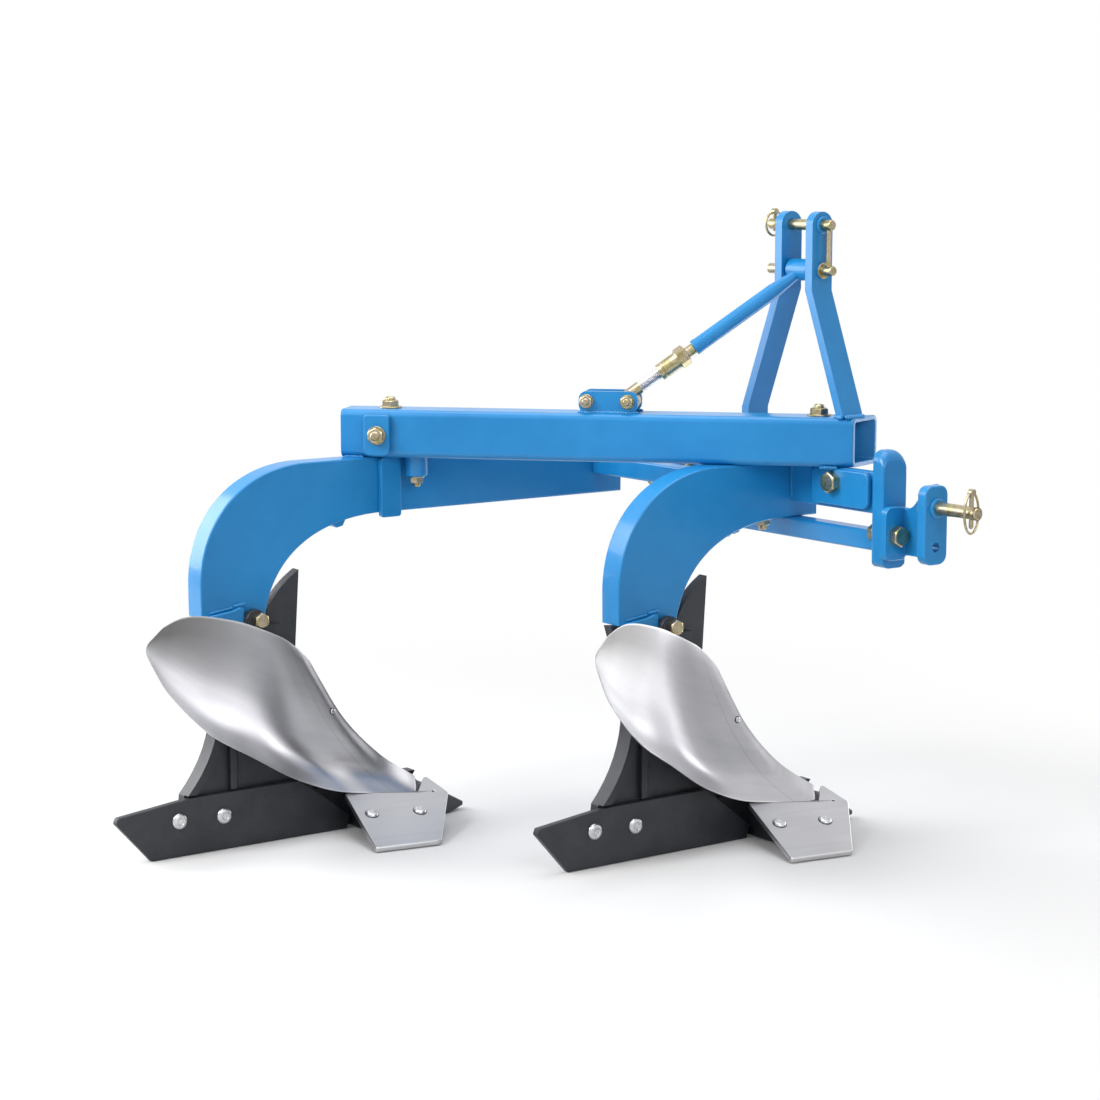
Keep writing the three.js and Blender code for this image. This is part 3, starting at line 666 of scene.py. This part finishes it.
def board_face(rows, columns):
    """The working face: a Coons patch on its four edges, u from shin to wing end and v from lower to top edge,
    pushed inwards by the hollow times 4v(1-v) sin(pi u)^0.8. The rows crowd towards both ends and each is
    shortened by a quarter ellipse there, which rounds the patch's corners."""
    u = (0.5 - 0.5 * np.cos(np.linspace(0, pi, rows)))[:, None]

    def fold(reach, height, way):
        return height * (1 - np.sqrt(1 - np.clip((reach - way) / reach, 0, 1) ** 2))

    lowest = fold(0.10, 0.50, 1 - u)
    highest = 1 - fold(0.08, 0.40, 1 - u) - fold(0.13, 0.12, u)
    v = lowest + (highest - lowest) * np.linspace(0, 1, columns)[None, :]
    u = np.broadcast_to(u, v.shape)
    low, top = along_curve(LOWER_EDGE, u), along_curve(TOP_EDGE, u)
    shin, wing = along_curve(SHIN, v), along_curve(WING_END, v)
    u, v = u[..., None], v[..., None]
    c00, c10, c01, c11 = (np.array(p, float) for p in (SHIN[0], LOWER_EDGE[-1], SHIN[-1], TOP_EDGE[-1]))
    ruled = low * (1 - v) + top * v + shin * (1 - u) + wing * u
    corner = c00 * (1 - u) * (1 - v) + c10 * u * (1 - v) + c01 * (1 - u) * v + c11 * u * v
    return ruled - corner + INWARDS * HOLLOW * 4 * v * (1 - v) * np.sin(pi * u).clip(0) ** 0.8


def mouldboard(furrow):
    """Front and back faces a plate's thickness apart, joined by one band of faces round the rim, which the
    bevel rounds. The sweep is metres along the middle column, and 0 to 0.30 across."""
    rows, columns = 110, 46
    face = board_face(rows, columns)
    size = rows * columns
    back = face + INWARDS * BOARD_PLATE
    points = np.concatenate([face.reshape(-1, 3), back.reshape(-1, 3)])
    front_faces = grid_faces(rows, columns, wrap_columns=False)
    back_faces = [[index + size for index in quad[::-1]] for quad in front_faces]
    index = np.arange(size).reshape(rows, columns)
    rim = np.concatenate([index[:, 0], index[-1, 1:], index[-2::-1, -1], index[0, -2:0:-1]])
    after = np.roll(rim, -1)
    rim_faces = np.stack([rim, rim + size, after + size, after], 1).tolist()
    steps = np.linalg.norm(np.diff(face[:, columns // 2], axis=0), axis=1)
    run = np.concatenate([[0], np.cumsum(steps)]) * 0.001
    u, v = np.meshgrid(run, np.linspace(0, 0.30, columns), indexing="ij")
    sweep = np.concatenate([np.stack([u.ravel(), v.ravel()], 1)] * 2)
    piece(f"{furrow}_mouldboard_plate", bodies[furrow], (points, front_faces + back_faces + rim_faces),
          "polished_steel", replaces=(f"{furrow}_mouldboard",), bevel=1.8, angle=45, sweep=sweep)

    # Countersunk bolt beside the shin, square to the face there.
    row, column = 13, 28
    out = np.cross(face[row + 1, column] - face[row - 1, column], face[row, column + 1] - face[row, column - 1])
    seat = bodies[furrow].aimed(face[row, column], -np.sign(out @ INWARDS) * out)
    countersunk(f"{furrow}_shin_bolt", seat, SHIN_HEAD)


def countersunk(name, seat, radius):
    """A plough bolt's head and a black ring round it, painted shadow in its seat's recess."""
    piece(name, seat, dome_head(radius), "bright_steel")
    # Painted shadow: a thin black ring round the head, standing in for the shade of its recess.
    piece(f"{name}_painted_shade", seat, painted_shadow_ring(radius), "black_paint")


def share_place(furrow):
    """The share's own frame: along its cutting edge, up its slope and out of its face."""
    across = np.array([cos(-SHARE_SWEEP), sin(-SHARE_SWEEP), 0])
    up = np.array([sin(SHARE_SWEEP) * cos(SHARE_PITCH), cos(SHARE_SWEEP) * cos(SHARE_PITCH),
                   sin(SHARE_PITCH)])
    return Place(bodies[furrow](SHARE_CORNER), across, up, np.cross(across, up))


def make_share(furrow):
    """The share, with a round hole near its upper corner, and its two bolts."""
    on_share = share_place(furrow)
    outline = filleted([(0, 0), (123, 0), (193, 137), (170, 196), (162, 186), (137, 147), (4, 169)],
                       [4, 12, 10, 5, 3, 5, 5], 6)
    share = holed_plate(outline, 0, SHARE_PLATE, (166, 145), 2.6, 2.2, "plan")
    off_board = np.array([1.0, 0])      # a sweep clear of the mouldboard's line and its dark end
    piece(f"{furrow}_share_plate", on_share, share, "polished_steel", replaces=(f"{furrow}_share",),
          sweep=share[0][:, :2] * 0.001 - off_board)
    for n, (a, b) in enumerate([(30, 99), (119, 92)], 1):
        countersunk(f"{furrow}_share_bolt_{n}", on_share.aimed((a, b, SHARE_PLATE), (0, 0, 1)), SHARE_HEAD)


def make_frog(furrow, body):
    """The landside bar with its bolts, the frog with its rib, and the share's point."""
    bar = filleted([(0, 0), (391, 0), (399, 24), (306, 93), (292, 102), (78, 100), (-62, 84), (-66, 74)],
                   [4, 3, 3, 6, 8, 60, 5, 5], 6)
    piece(f"{furrow}_landside", body, plate(bar, 0, BAR_PLATE, 2.2), "black_paint",
          replaces=(f"{furrow}_landside_bar",))
    for n, (x, z) in enumerate(LANDSIDE_BOLTS, 1):
        countersunk(f"{furrow}_landside_bolt_{n}", body.aimed((x, 0, z), (0, -1, 0)), LANDSIDE_HEAD)
    softened(f"{furrow}_frog", "black_paint", 2.5)
    softened(f"{furrow}_share_point", "black_paint", 1.8)

    # Upright rib cast on the frog's near face. Of the bar's two nuts the rear one sits on the bar's own back,
    # clear of the frog, and the other on the frog's far face.
    rise = np.linspace(0, 1, 24)[:, None]
    rib = (1 - rise) ** 2 * [165, 13, 90] + 2 * rise * (1 - rise) * [182, 13, 132] + rise ** 2 * [168, 13, 176]
    piece(f"{furrow}_frog_rib", body, carried(rib, 4.2, 16, 0.8, (0, -1, 0)), "black_paint")
    far = (corners(f"{furrow}_frog")[1][1] - body.origin[1]) * 1000
    for n, ((x, z), y) in enumerate(zip(LANDSIDE_BOLTS, (BAR_PLATE, far)), 1):
        piece(f"{furrow}_frog_nut_{n}", body.aimed((x, y, z), (0, 1, 0)), nut_on_stud(21, 9, 12.5, 7, 4),
              "bright_steel")


def make_foot(furrow, body):
    """The bolt through the frog's lug into the beam's foot, the foot's welded plate, and the beam itself."""
    piece(f"{furrow}_foot_bolt", body.aimed((208, -18, 400), (0, -1, 0)), hex_head(25, 11), "yellow_zinc")
    piece(f"{furrow}_lug_ring", body.aimed((204, -14, 398), (0, -1, 0)),
          turned([(-12, 17), (-12, 20.5), (-2, 20.5), (0, 19), (0, 12)]), "black_paint")
    foot = filleted([(104, 372), (186, 372), (186, 421), (178, 424), (164, 419), (122, 414), (104, 396)],
                    [3, 3, 4, 6, 6, 6, 8])
    piece(f"{furrow}_foot_plate", body, plate(foot, -5, 6, 2.5), "blue_enamel")
    welds(f"{furrow}_foot_weld", body, ((122, 3.5, 417), (170, 3.5, 423), 2.4, (0, -1, 0), 6),
          ((168, 3.5, 425), (194, 3.5, 428), 3, (0, -1, 0), 6, 1))

    # Small lug welded under the inner curve.
    x = 392 if furrow == "rear" else 372
    lug = filleted([(x - 22, 552), (x + 26, 566), (x + 26, 560), (x + 12, 556), (x + 7, 546), (x - 6, 543),
                    (x - 14, 548)], [2, 2, 3, 5, 5, 5, 3])
    piece(f"{furrow}_under_lug", body, plate(lug, 14, 44, 2.5), "blue_enamel")

    end = (corners(f"{furrow}_beam")[1][0] - body.origin[0]) * 1000
    outer = bezier((322, BEAM_TOP), (205, BEAM_TOP), (107, 592), (107, 460), samples=44)
    inner = bezier((232, 398), (248, 500), (330, BEAM_BOTTOM - 3), (470, BEAM_BOTTOM), samples=40)
    outline = np.concatenate([inner, [(end, BEAM_BOTTOM), (end, BEAM_TOP)], outer, [(107.5, 409)]])
    piece(f"{furrow}_curved_beam", body, plate(outline, BEAM_NEAR, BEAM_FAR, 3.2), "blue_enamel",
          replaces=(f"{furrow}_beam",))


for furrow, body in bodies.items():
    mouldboard(furrow)
    make_share(furrow)
    make_frog(furrow, body)
    make_foot(furrow, body)


# ---------- main tube and what stands on it ----------
def hollow_tube():
    """A rounded square section carried along the tube and back along its bore. The far end is cut skew."""
    outer = rectangle(-TUBE_HALF, TUBE_HALF, TUBE_LOW, TUBE_HIGH, 12, 8)
    half = TUBE_HALF - TUBE_WALL
    bore = rectangle(-half, half, TUBE_LOW + TUBE_WALL, TUBE_HIGH - TUBE_WALL, 4, 8)
    stations = [(outer, 1.2, 0, 0), (outer, 0.3, 0.6, 0), (outer, 0, 1.8, 0), (outer, 0, -1.8, 1),
                (outer, 0.3, -0.6, 1), (outer, 1.2, 0, 1), (bore, -0.8, 0, 1), (bore, 0, -1.0, 1),
                (bore, 0, 1, 0), (bore, -0.8, 0, 0)]
    rings = []
    shorter_side, skew = 905, 35
    for outline, depth, step, far in stations:
        ring = inset(outline, depth)
        far_end = shorter_side + skew * (ring[:, 0] + TUBE_HALF) / (2 * TUBE_HALF)
        rings.append(np.stack([step + far * far_end, ring[:, 0], ring[:, 1]], 1))
    points = np.stack(rings)
    return points.reshape(-1, 3), grid_faces(len(rings), len(outer), wrap_rows=True)


piece("frame_tube", tube, hollow_tube(), "blue_enamel", replaces=("main_tube",))
piece("rear_clamp_cheek", tube, plate(rectangle(45, 92, 669.5, 742, [12, 12, 6, 6]), -54.8, -42.8, 2.5),
      "blue_enamel", replaces=("rear_clamp_plate",))
piece("rear_clamp_socket", tube.aimed((CLAMP_AT, 0, BEAM_TOP), (0, 0, -1)),
      turned([(0, 22), (4, 20), (32, 20), (34, 19.4), (35.5, 17.5), (35.7, 0.5)]), "blue_enamel",
      replaces=("rear_clamp_boss",))
piece("rear_clamp_socket_nut", tube.aimed((CLAMP_AT, 0, 629.5), (0, 0, -1)), nut_on_stud(22, 10, 14, 7, 6),
      "yellow_zinc")
piece("rear_clamp_bolt", tube.aimed((69, -54.8, 706), (0, -1, 0)), nut_on_stud(26, 9, 16.5, 8.5, 5),
      "yellow_zinc")
piece("rear_tube_bolt", tube.aimed((80, 3, TUBE_HIGH), (0, 0, 1)), nut_on_stud(), "yellow_zinc")
piece("front_tube_bolt", tube.aimed((843, 0, TUBE_HIGH), (0, 0, 1)), nut_on_stud(), "yellow_zinc")
bar_from("rear_clamp_strap", 1, "blue_enamel", 6, 2)

softened("stay_bracket_near", "blue_enamel", 2.5)
softened("stay_bracket_far", "blue_enamel", 2.5)
for side, sign in (("near", -1), ("far", 1)):
    face = sign * 27
    welds(f"stay_bracket_{side}_weld", tube, ((424, face, 752), (532, face, 752), 3.4, (0, sign * 0.7, 0.7)))
for node, at in (("stay_bracket_pin", 512), ("stay_bracket_spacer", 440)):
    barrel = turned([(-26.6, 8.6), (26.6, 8.6)], sides=32)
    near = shifted(nut_on_stud(20, 8, 12.5, 6.5, 4), 27)
    far = facing_back(together(washer(12.5, 2), hex_head(20, 8, 2)), -27)
    piece(node + "_bolt", tube.aimed((at, 0, BRACKET_PIN_Z), (0, -1, 0)), together(barrel, near, far),
          "yellow_zinc", replaces=(node,))

# ---------- hitch ----------
bar_from("cross_bar", 1, "blue_enamel", 5, 2)
bar_from("hitch_gusset", 0, "blue_enamel", 10, 2.5)
bar_from("hitch_gusset_plate", 0, "blue_enamel", 14, 2.8)
bar_from("beam_tie", 1, "blue_enamel", 4, 2)
piece("gusset_bolt", hitch.aimed((-30.3, -118, 640), (-1, 0, 0)), hex_head(33, 15), "yellow_zinc")
welds("gusset_weld", hitch, ((-22, -60, 604), (-22, -60, 660), 5, (-1, 0, 0)),
      ((-18, 2, 598), (-18, 2, 662), 4.5, (-1, 0, 0)))
piece("front_beam_nut", hitch.aimed((-62, 28, BEAM_BOTTOM), (0, 0, -1)), nut_on_stud(24, 10, 17, 8, 8),
      "yellow_zinc")


def post(side, sign):
    """A rounded section carried upwards. Both ends are closed by shrinking the section to its middle, where the
    height follows quarter circles that roll off its edges."""
    half, head, base = 27.5, 703, 503
    section = finely(rectangle(-half, half, POST_INNER, POST_OUTER, 3.5, 5), 1.8)
    centre = np.array([0, (POST_INNER + POST_OUTER) / 2])

    def roll(distance, radius):
        over = np.clip(distance + radius, 0, radius)
        return radius - np.sqrt(radius**2 - over**2)

    def top(at):
        return head - roll(np.abs(at[:, 0]) - half, 22) - roll(at[:, 1] - POST_OUTER, 20)

    def foot(at):
        return base + roll(np.abs(at[:, 0]) - half, 16)

    shrink = [0.0, 0.1, 0.25, 0.4, 0.55, 0.68, 0.79, 0.87, 0.93, 0.97, 0.99]
    rings = [np.column_stack([ring := centre + (section - centre) * k, foot(ring)]) for k in shrink[1:]]
    rings += [np.column_stack([section, np.full(len(section), z)]) for z in (540, 600, 660)]
    rings += [np.column_stack([ring := centre + (section - centre) * k, top(ring)]) for k in shrink[:0:-1]]
    points = np.stack(rings)
    points[..., 1] *= sign
    piece(f"post_{side}", hitch, closed(points), "blue_enamel", replaces=(f"hitch_post_{side}",), angle=50)


def lug(side, sign):
    """Flange on the post, a crank whose top edge rises in an S, and the drilled lug that holds the pin."""
    middle_line, bend_radius, bend_from = FLANGE_INNER + FLANGE_PLATE / 2, 9, 7.5
    turn = np.linspace(0, pi / 2, 9)
    bend = np.stack([bend_from + bend_radius * np.sin(turn), middle_line + bend_radius * (1 - np.cos(turn))], 1)
    straight = np.stack([np.linspace(-33.9, bend_from - 1, 26), np.full(26, middle_line)], 1)
    outward = np.stack([np.full(24, bend_from + bend_radius),
                        np.linspace(middle_line + bend_radius + 3, LUG_INNER + 1, 24)], 1)
    path = np.concatenate([straight, bend, outward])
    run = np.concatenate([[0], np.cumsum(np.linalg.norm(np.diff(path, axis=0), axis=1))])
    corner = 14
    start = corner - np.sqrt(corner**2 - np.clip(corner - run, 0, corner) ** 2)
    rise = np.interp(run, [0, 30, 44, 56, 70, 84, 96, 106, 115],
                     [610, 610, 608, 605, 609, 624, 640, 647, 648])
    rise = np.convolve(np.pad(rise, 2, "edge"), np.ones(5) / 5, "valid")
    flange = bent_strip(path, FLANGE_PLATE, 518 + start + np.interp(run, [44, 56], [0, 8]), rise - start, 3)
    head = holed_plate(rectangle(-26, 26, 520, 653, [18, 18, 16, 16]), LUG_INNER, LUG_OUTER, (0, 550), 8, 3)
    points, faces = together(flange, head)
    points[:, 1] *= sign
    piece(f"lug_{side}", hitch, (points, faces), "blue_enamel", replaces=(f"hitch_lug_{side}",))
    weld_y = sign * (LUG_INNER - 1)
    welds(f"lug_{side}_weld", hitch, ((8.5, weld_y, 532), (8.5, weld_y, 640), 4.6, (-1, 0, 0)),
          ((10, weld_y, 650), (23, weld_y, 650), 4, (0, 0, 1)))
    on_flange = hitch.aimed((-10, sign * (FLANGE_INNER + FLANGE_PLATE), 560), (0, sign, 0))
    piece(f"lug_{side}_bolt", on_flange, hex_head(31, 15), "yellow_zinc")
    piece(f"lug_{side}_bolt_nut", hitch.aimed((-8, sign * 213, 560), (0, -sign, 0)),
          nut_on_stud(30, 13, 18, 10, 5), "yellow_zinc")


def lower_pin(side, sign):
    """The hitch pin: nut behind the lug, shank, chamfered end, and the welded socket round it on the lug."""
    node = f"lower_pin_{side}"
    on_pin = hitch.aimed((0, 0, LOWER_PIN_Z), (0, sign, 0))
    shank = turned([(LUG_INNER - 15.5, 6), (LUG_INNER - 15.5, 10), (LUG_INNER - 14, 11), (LUG_OUTER + 94, 11),
                    (433.6, 11), (437.5, 8.6), (437.5, 0.4)], sides=56)
    nut = facing_back(hex_head(31, 12.4), LUG_INNER - 0.3)
    piece(node + "_turned", on_pin, together(shank, nut), "yellow_zinc", replaces=(node,))
    socket = turned([(LUG_OUTER - 1, 17), (LUG_OUTER + 2.5, 17), (LUG_OUTER + 5, 14.6), (LUG_OUTER + 5, 11.1)])
    piece(f"pin_socket_{side}", on_pin, socket, "blue_enamel")


def linch(name, y, z, width, height, body):
    """A linch pin with its cross head, and its ring: an ellipse of wire, its two ends beside the head."""
    shank = turned([(-height + 8, 1.5), (-height + 9.5, 3.2), (-height + 12, 4), (height - 2, 4), (height, 4)],
                   sides=28)
    barrel, faces = turned([(-5, 4.4), (-4.2, 6), (4.2, 6), (5, 4.4)], sides=32)
    across = (barrel[:, [1, 0, 2]] + np.array([height, 0, 0]), faces)
    piece(f"{name}_linch", hitch.aimed((0, y, z), (0, 0, 1)), together(shank, across), "yellow_zinc",
          replaces=(f"{name}_linch_pin",))
    samples, beside = 72, 5.4
    opening = np.arcsin(5 / width)
    angle = np.linspace(opening, 2 * pi - opening, samples)
    path = np.stack([width * np.sin(angle), np.full(samples, y), z + height * np.cos(angle)], 1)
    ends = (np.abs(path[:, 0]) < beside) & (path[:, 2] > z)
    path[ends, 0] = np.sign(path[ends, 0]) * beside
    piece(f"{name}_wire", hitch, carried(path, 2.15, 14, 1.0, (0, 1, 0)), "yellow_zinc", body=body,
          replaces=(f"{name}_ring",))


SIDES = (("right", -1), ("left", 1))
for side, sign in SIDES:
    post(side, sign)
    lug(side, sign)
    lower_pin(side, sign)
    linch(f"lower_{side}", sign * 421.5, LOWER_PIN_Z, 16, 34, f"{side}_ring")
    softened(f"mast_{side}", "blue_enamel", 2.8)
linch("top", 77, TOP_PIN_Z, 20, 21, "upper_ring")

piece("top_pin_turned", hitch.aimed((0, 0, TOP_PIN_Z), (0, 1, 0)),
      turned([(-74, 0.4), (-74, 7.8), (-71.4, 9.5), (85, 9.5), (88, 7.4), (88, 0.4)]), "yellow_zinc",
      replaces=("top_link_pin",))
piece("stay_pin_turned", hitch.aimed((0, 0, STAY_PIN_Z), (0, 1, 0)),
      together(turned([(-78, 0.4), (-78, 7.4), (-75.4, 9), (86, 9)]), shifted(hex_head(24, 10), 50),
               turned([(-55, 13), (-54, 14), (-52, 14), (-51, 13)])), "yellow_zinc", replaces=("stay_pin",))
piece("keeper_rod", hitch, carried(np.stack([np.zeros(20), np.full(20, -65), np.linspace(1006, 1067.5, 20)], 1),
                                   4.4, 20, 1, (1, 0, 0)), "yellow_zinc", replaces=("pin_keeper",))
for side, sign in SIDES:
    for level, z, radius in (("upper", TOP_PIN_Z, 15), ("lower", STAY_PIN_Z, 14)):
        ring = turned([(48.6, radius), (51, radius), (53, radius - 2), (53, 9.8)])
        piece(f"mast_boss_{level}_{side}", hitch.aimed((0, 0, z), (0, sign, 0)), ring, "blue_enamel")
welds("mast_foot_weld", hitch, ((-22, -138, 752), (24, -138, 752), 4.5, (0, -0.6, 0.8)),
      ((-24, -134, 752), (-24, -112, 752), 4.5, (-0.7, 0, 0.7)))
welds("tube_seat_weld", tube, ((848, -40, 664.5), (880, -40, 664.5), 3.2, (0, -0.7, -0.7)),
      ((4, -40, 665.5), (42, -40, 665.5), 3.6, (0, -0.8, -0.6)))

# ---------- adjustable stay ----------
# Its first axis runs from the bracket's pin up to the mast's.
stay_from = tube([502, 0, 774.3])
stay_to = hitch([0, 0, STAY_PIN_Z])
stay_way = (stay_to - stay_from) / np.linalg.norm(stay_to - stay_from)
stay_end = np.linalg.norm(stay_to - stay_from) * 1000
stay = Place(stay_from).aimed((0, 0, 0), stay_way)
softened("stay_eye", "yellow_zinc", 3.0)
threads = np.arange(34.6, 75.4, 0.32)
piece("stay_thread", stay, turned([(34.3, 8.5), *[(d, 10) for d in threads], (75.7, 8.5)], sides=48,
                                  thread=(0.9, 2.5)), "bright_steel", replaces=("stay_screw",))
coupling = turned([(76, 11), (76, 14), (77.5, 15), (84, 15), (85, 14.2), (86, 14.2), (87, 15), (113, 15),
                   (116, 16.5), (118, 16.5)])
nut = hex_head(33, 18.5, 116.5)
neck = turned([(133, 10), (148, 10), (150, 9.4)])
piece("stay_coupling_nut", stay, together(coupling, nut, neck), "yellow_zinc", replaces=("stay_coupling",))
barrel = turned([(150.4, 9.5), (150.4, 13), (151.4, 14), (158, 14), (160, 13.5), (stay_end - 64, 13.5),
                 (stay_end - 8, 8)], sides=56)
# The sleeve on the mast's pin is turned about that pin, then read in the stay's own frame.
points, faces = turned([(-27, 10), (-27, 17.5), (-25.5, 19), (25.5, 19), (27, 17.5), (27, 10)])
on_mast_pin = hitch.aimed((0, 0, STAY_PIN_Z), (0, 1, 0))
sleeve = ((on_mast_pin(points) - stay.origin) @ stay.axes.T * 1000, faces)
piece("stay_barrel", stay, together(barrel, sleeve), "blue_enamel", replaces=("stay_tube",))


# ---------- studio ----------
def floor_material():
    """Pale floor that keeps the object's shadow. The camera sees it lifted a little, and fading to plain white
    away from the object."""
    f = Finish("studio_floor")
    seen = f.node("ShaderNodeLightPath")["Is Camera Ray"]
    tone = f.noise(1.2, 2)
    colour = f.mixed(f.fitted(tone, 0.3, 0.7), (0.67, 0.67, 0.675), (0.685, 0.685, 0.685))
    plain = f.node("ShaderNodeBsdfDiffuse", None, {"Color": colour})[0]
    lift = f.node("ShaderNodeEmission", None, {"Color": (1, 1, 1, 1), "Strength": seen * 0.02})[0]
    lit = f.node("ShaderNodeAddShader", None, {0: plain, 1: lift})[0]
    away = f.node("ShaderNodeVectorMath", {"operation": "LENGTH"}, {0: f.coordinates()})["Value"]
    fade = f.node("ShaderNodeMapRange", {"interpolation_type": "SMOOTHSTEP"},
                  {"Value": away, "From Min": 0.75, "From Max": 2.4})[0]
    white = f.node("ShaderNodeEmission", None, {"Color": (1, 1, 1, 1), "Strength": 1.0})[0]
    return f.surface(f.node("ShaderNodeMixShader", None, {0: fade * seen, 1: lit, 2: white})[0])


floor_mesh = bpy.data.meshes.new("studio_floor")
floor_mesh.from_pydata([(-14, -14, 0), (14, -14, 0), (14, 14, 0), (-14, 14, 0)], [], [(0, 1, 2, 3)])
floor = bpy.data.objects.new("studio_floor", floor_mesh)
floor_mesh.materials.append(floor_material())
bpy.context.scene.collection.objects.link(floor)
floor.location.z = -0.0006

world = bpy.data.worlds.new("studio")
bpy.context.scene.world = world
f = Finish("studio", world)
ray = f.node("ShaderNodeLightPath")
shown = f.maths("MAXIMUM", ray["Is Camera Ray"], ray["Is Glossy Ray"])
shown = f.maths("MAXIMUM", shown, ray["Is Transmission Ray"])
background = f.node("ShaderNodeBackground", None, {"Color": (1, 1, 1, 1), "Strength": 0.50 + shown * 0.50})[0]
f.tree.links.new(background.socket, f.node("ShaderNodeOutputWorld").node.inputs["Surface"])


def lamp(name, at, towards, size, power):
    """An area lamp the camera doesn't see. Size is its width and height in metres, power is in watts."""
    light = bpy.data.objects.new(name, bpy.data.lights.new(name, "AREA"))
    bpy.context.scene.collection.objects.link(light)
    light.data.shape, light.data.size, light.data.size_y = "RECTANGLE", *size
    light.data.energy = power
    way = np.array(towards, float) - np.array(at, float)
    light.rotation_euler = Vector(way).to_track_quat("-Z", "Y").to_euler()
    light.location = at
    light.visible_camera = False


lamp("soft_key", (-3.4, 0.6, 3.2), (0, 0, 0.4), (2.2, 2.0), 160)
lamp("soft_top", (0.4, 0.2, 4.2), (0, 0, 0.3), (3.0, 3.0), 76)
lamp("soft_side", (-0.6, -3.8, 2.4), (0.1, 0, 0.5), (2.0, 1.6), 42)
lamp("soft_low", (2.6, 0.1, 0.42), (-0.4, -0.1, 0.30), (1.8, 0.7), 12)
lamp("low_panel", (1.40, 0.1, 0.012), (1.40, 0.1, 1.0), (0.7, 1.2), 6.2)
lamp("soft_back", (-1.7, 3.0, 1.5), (-0.2, 0, 0.6), (2.4, 2.2), 75)
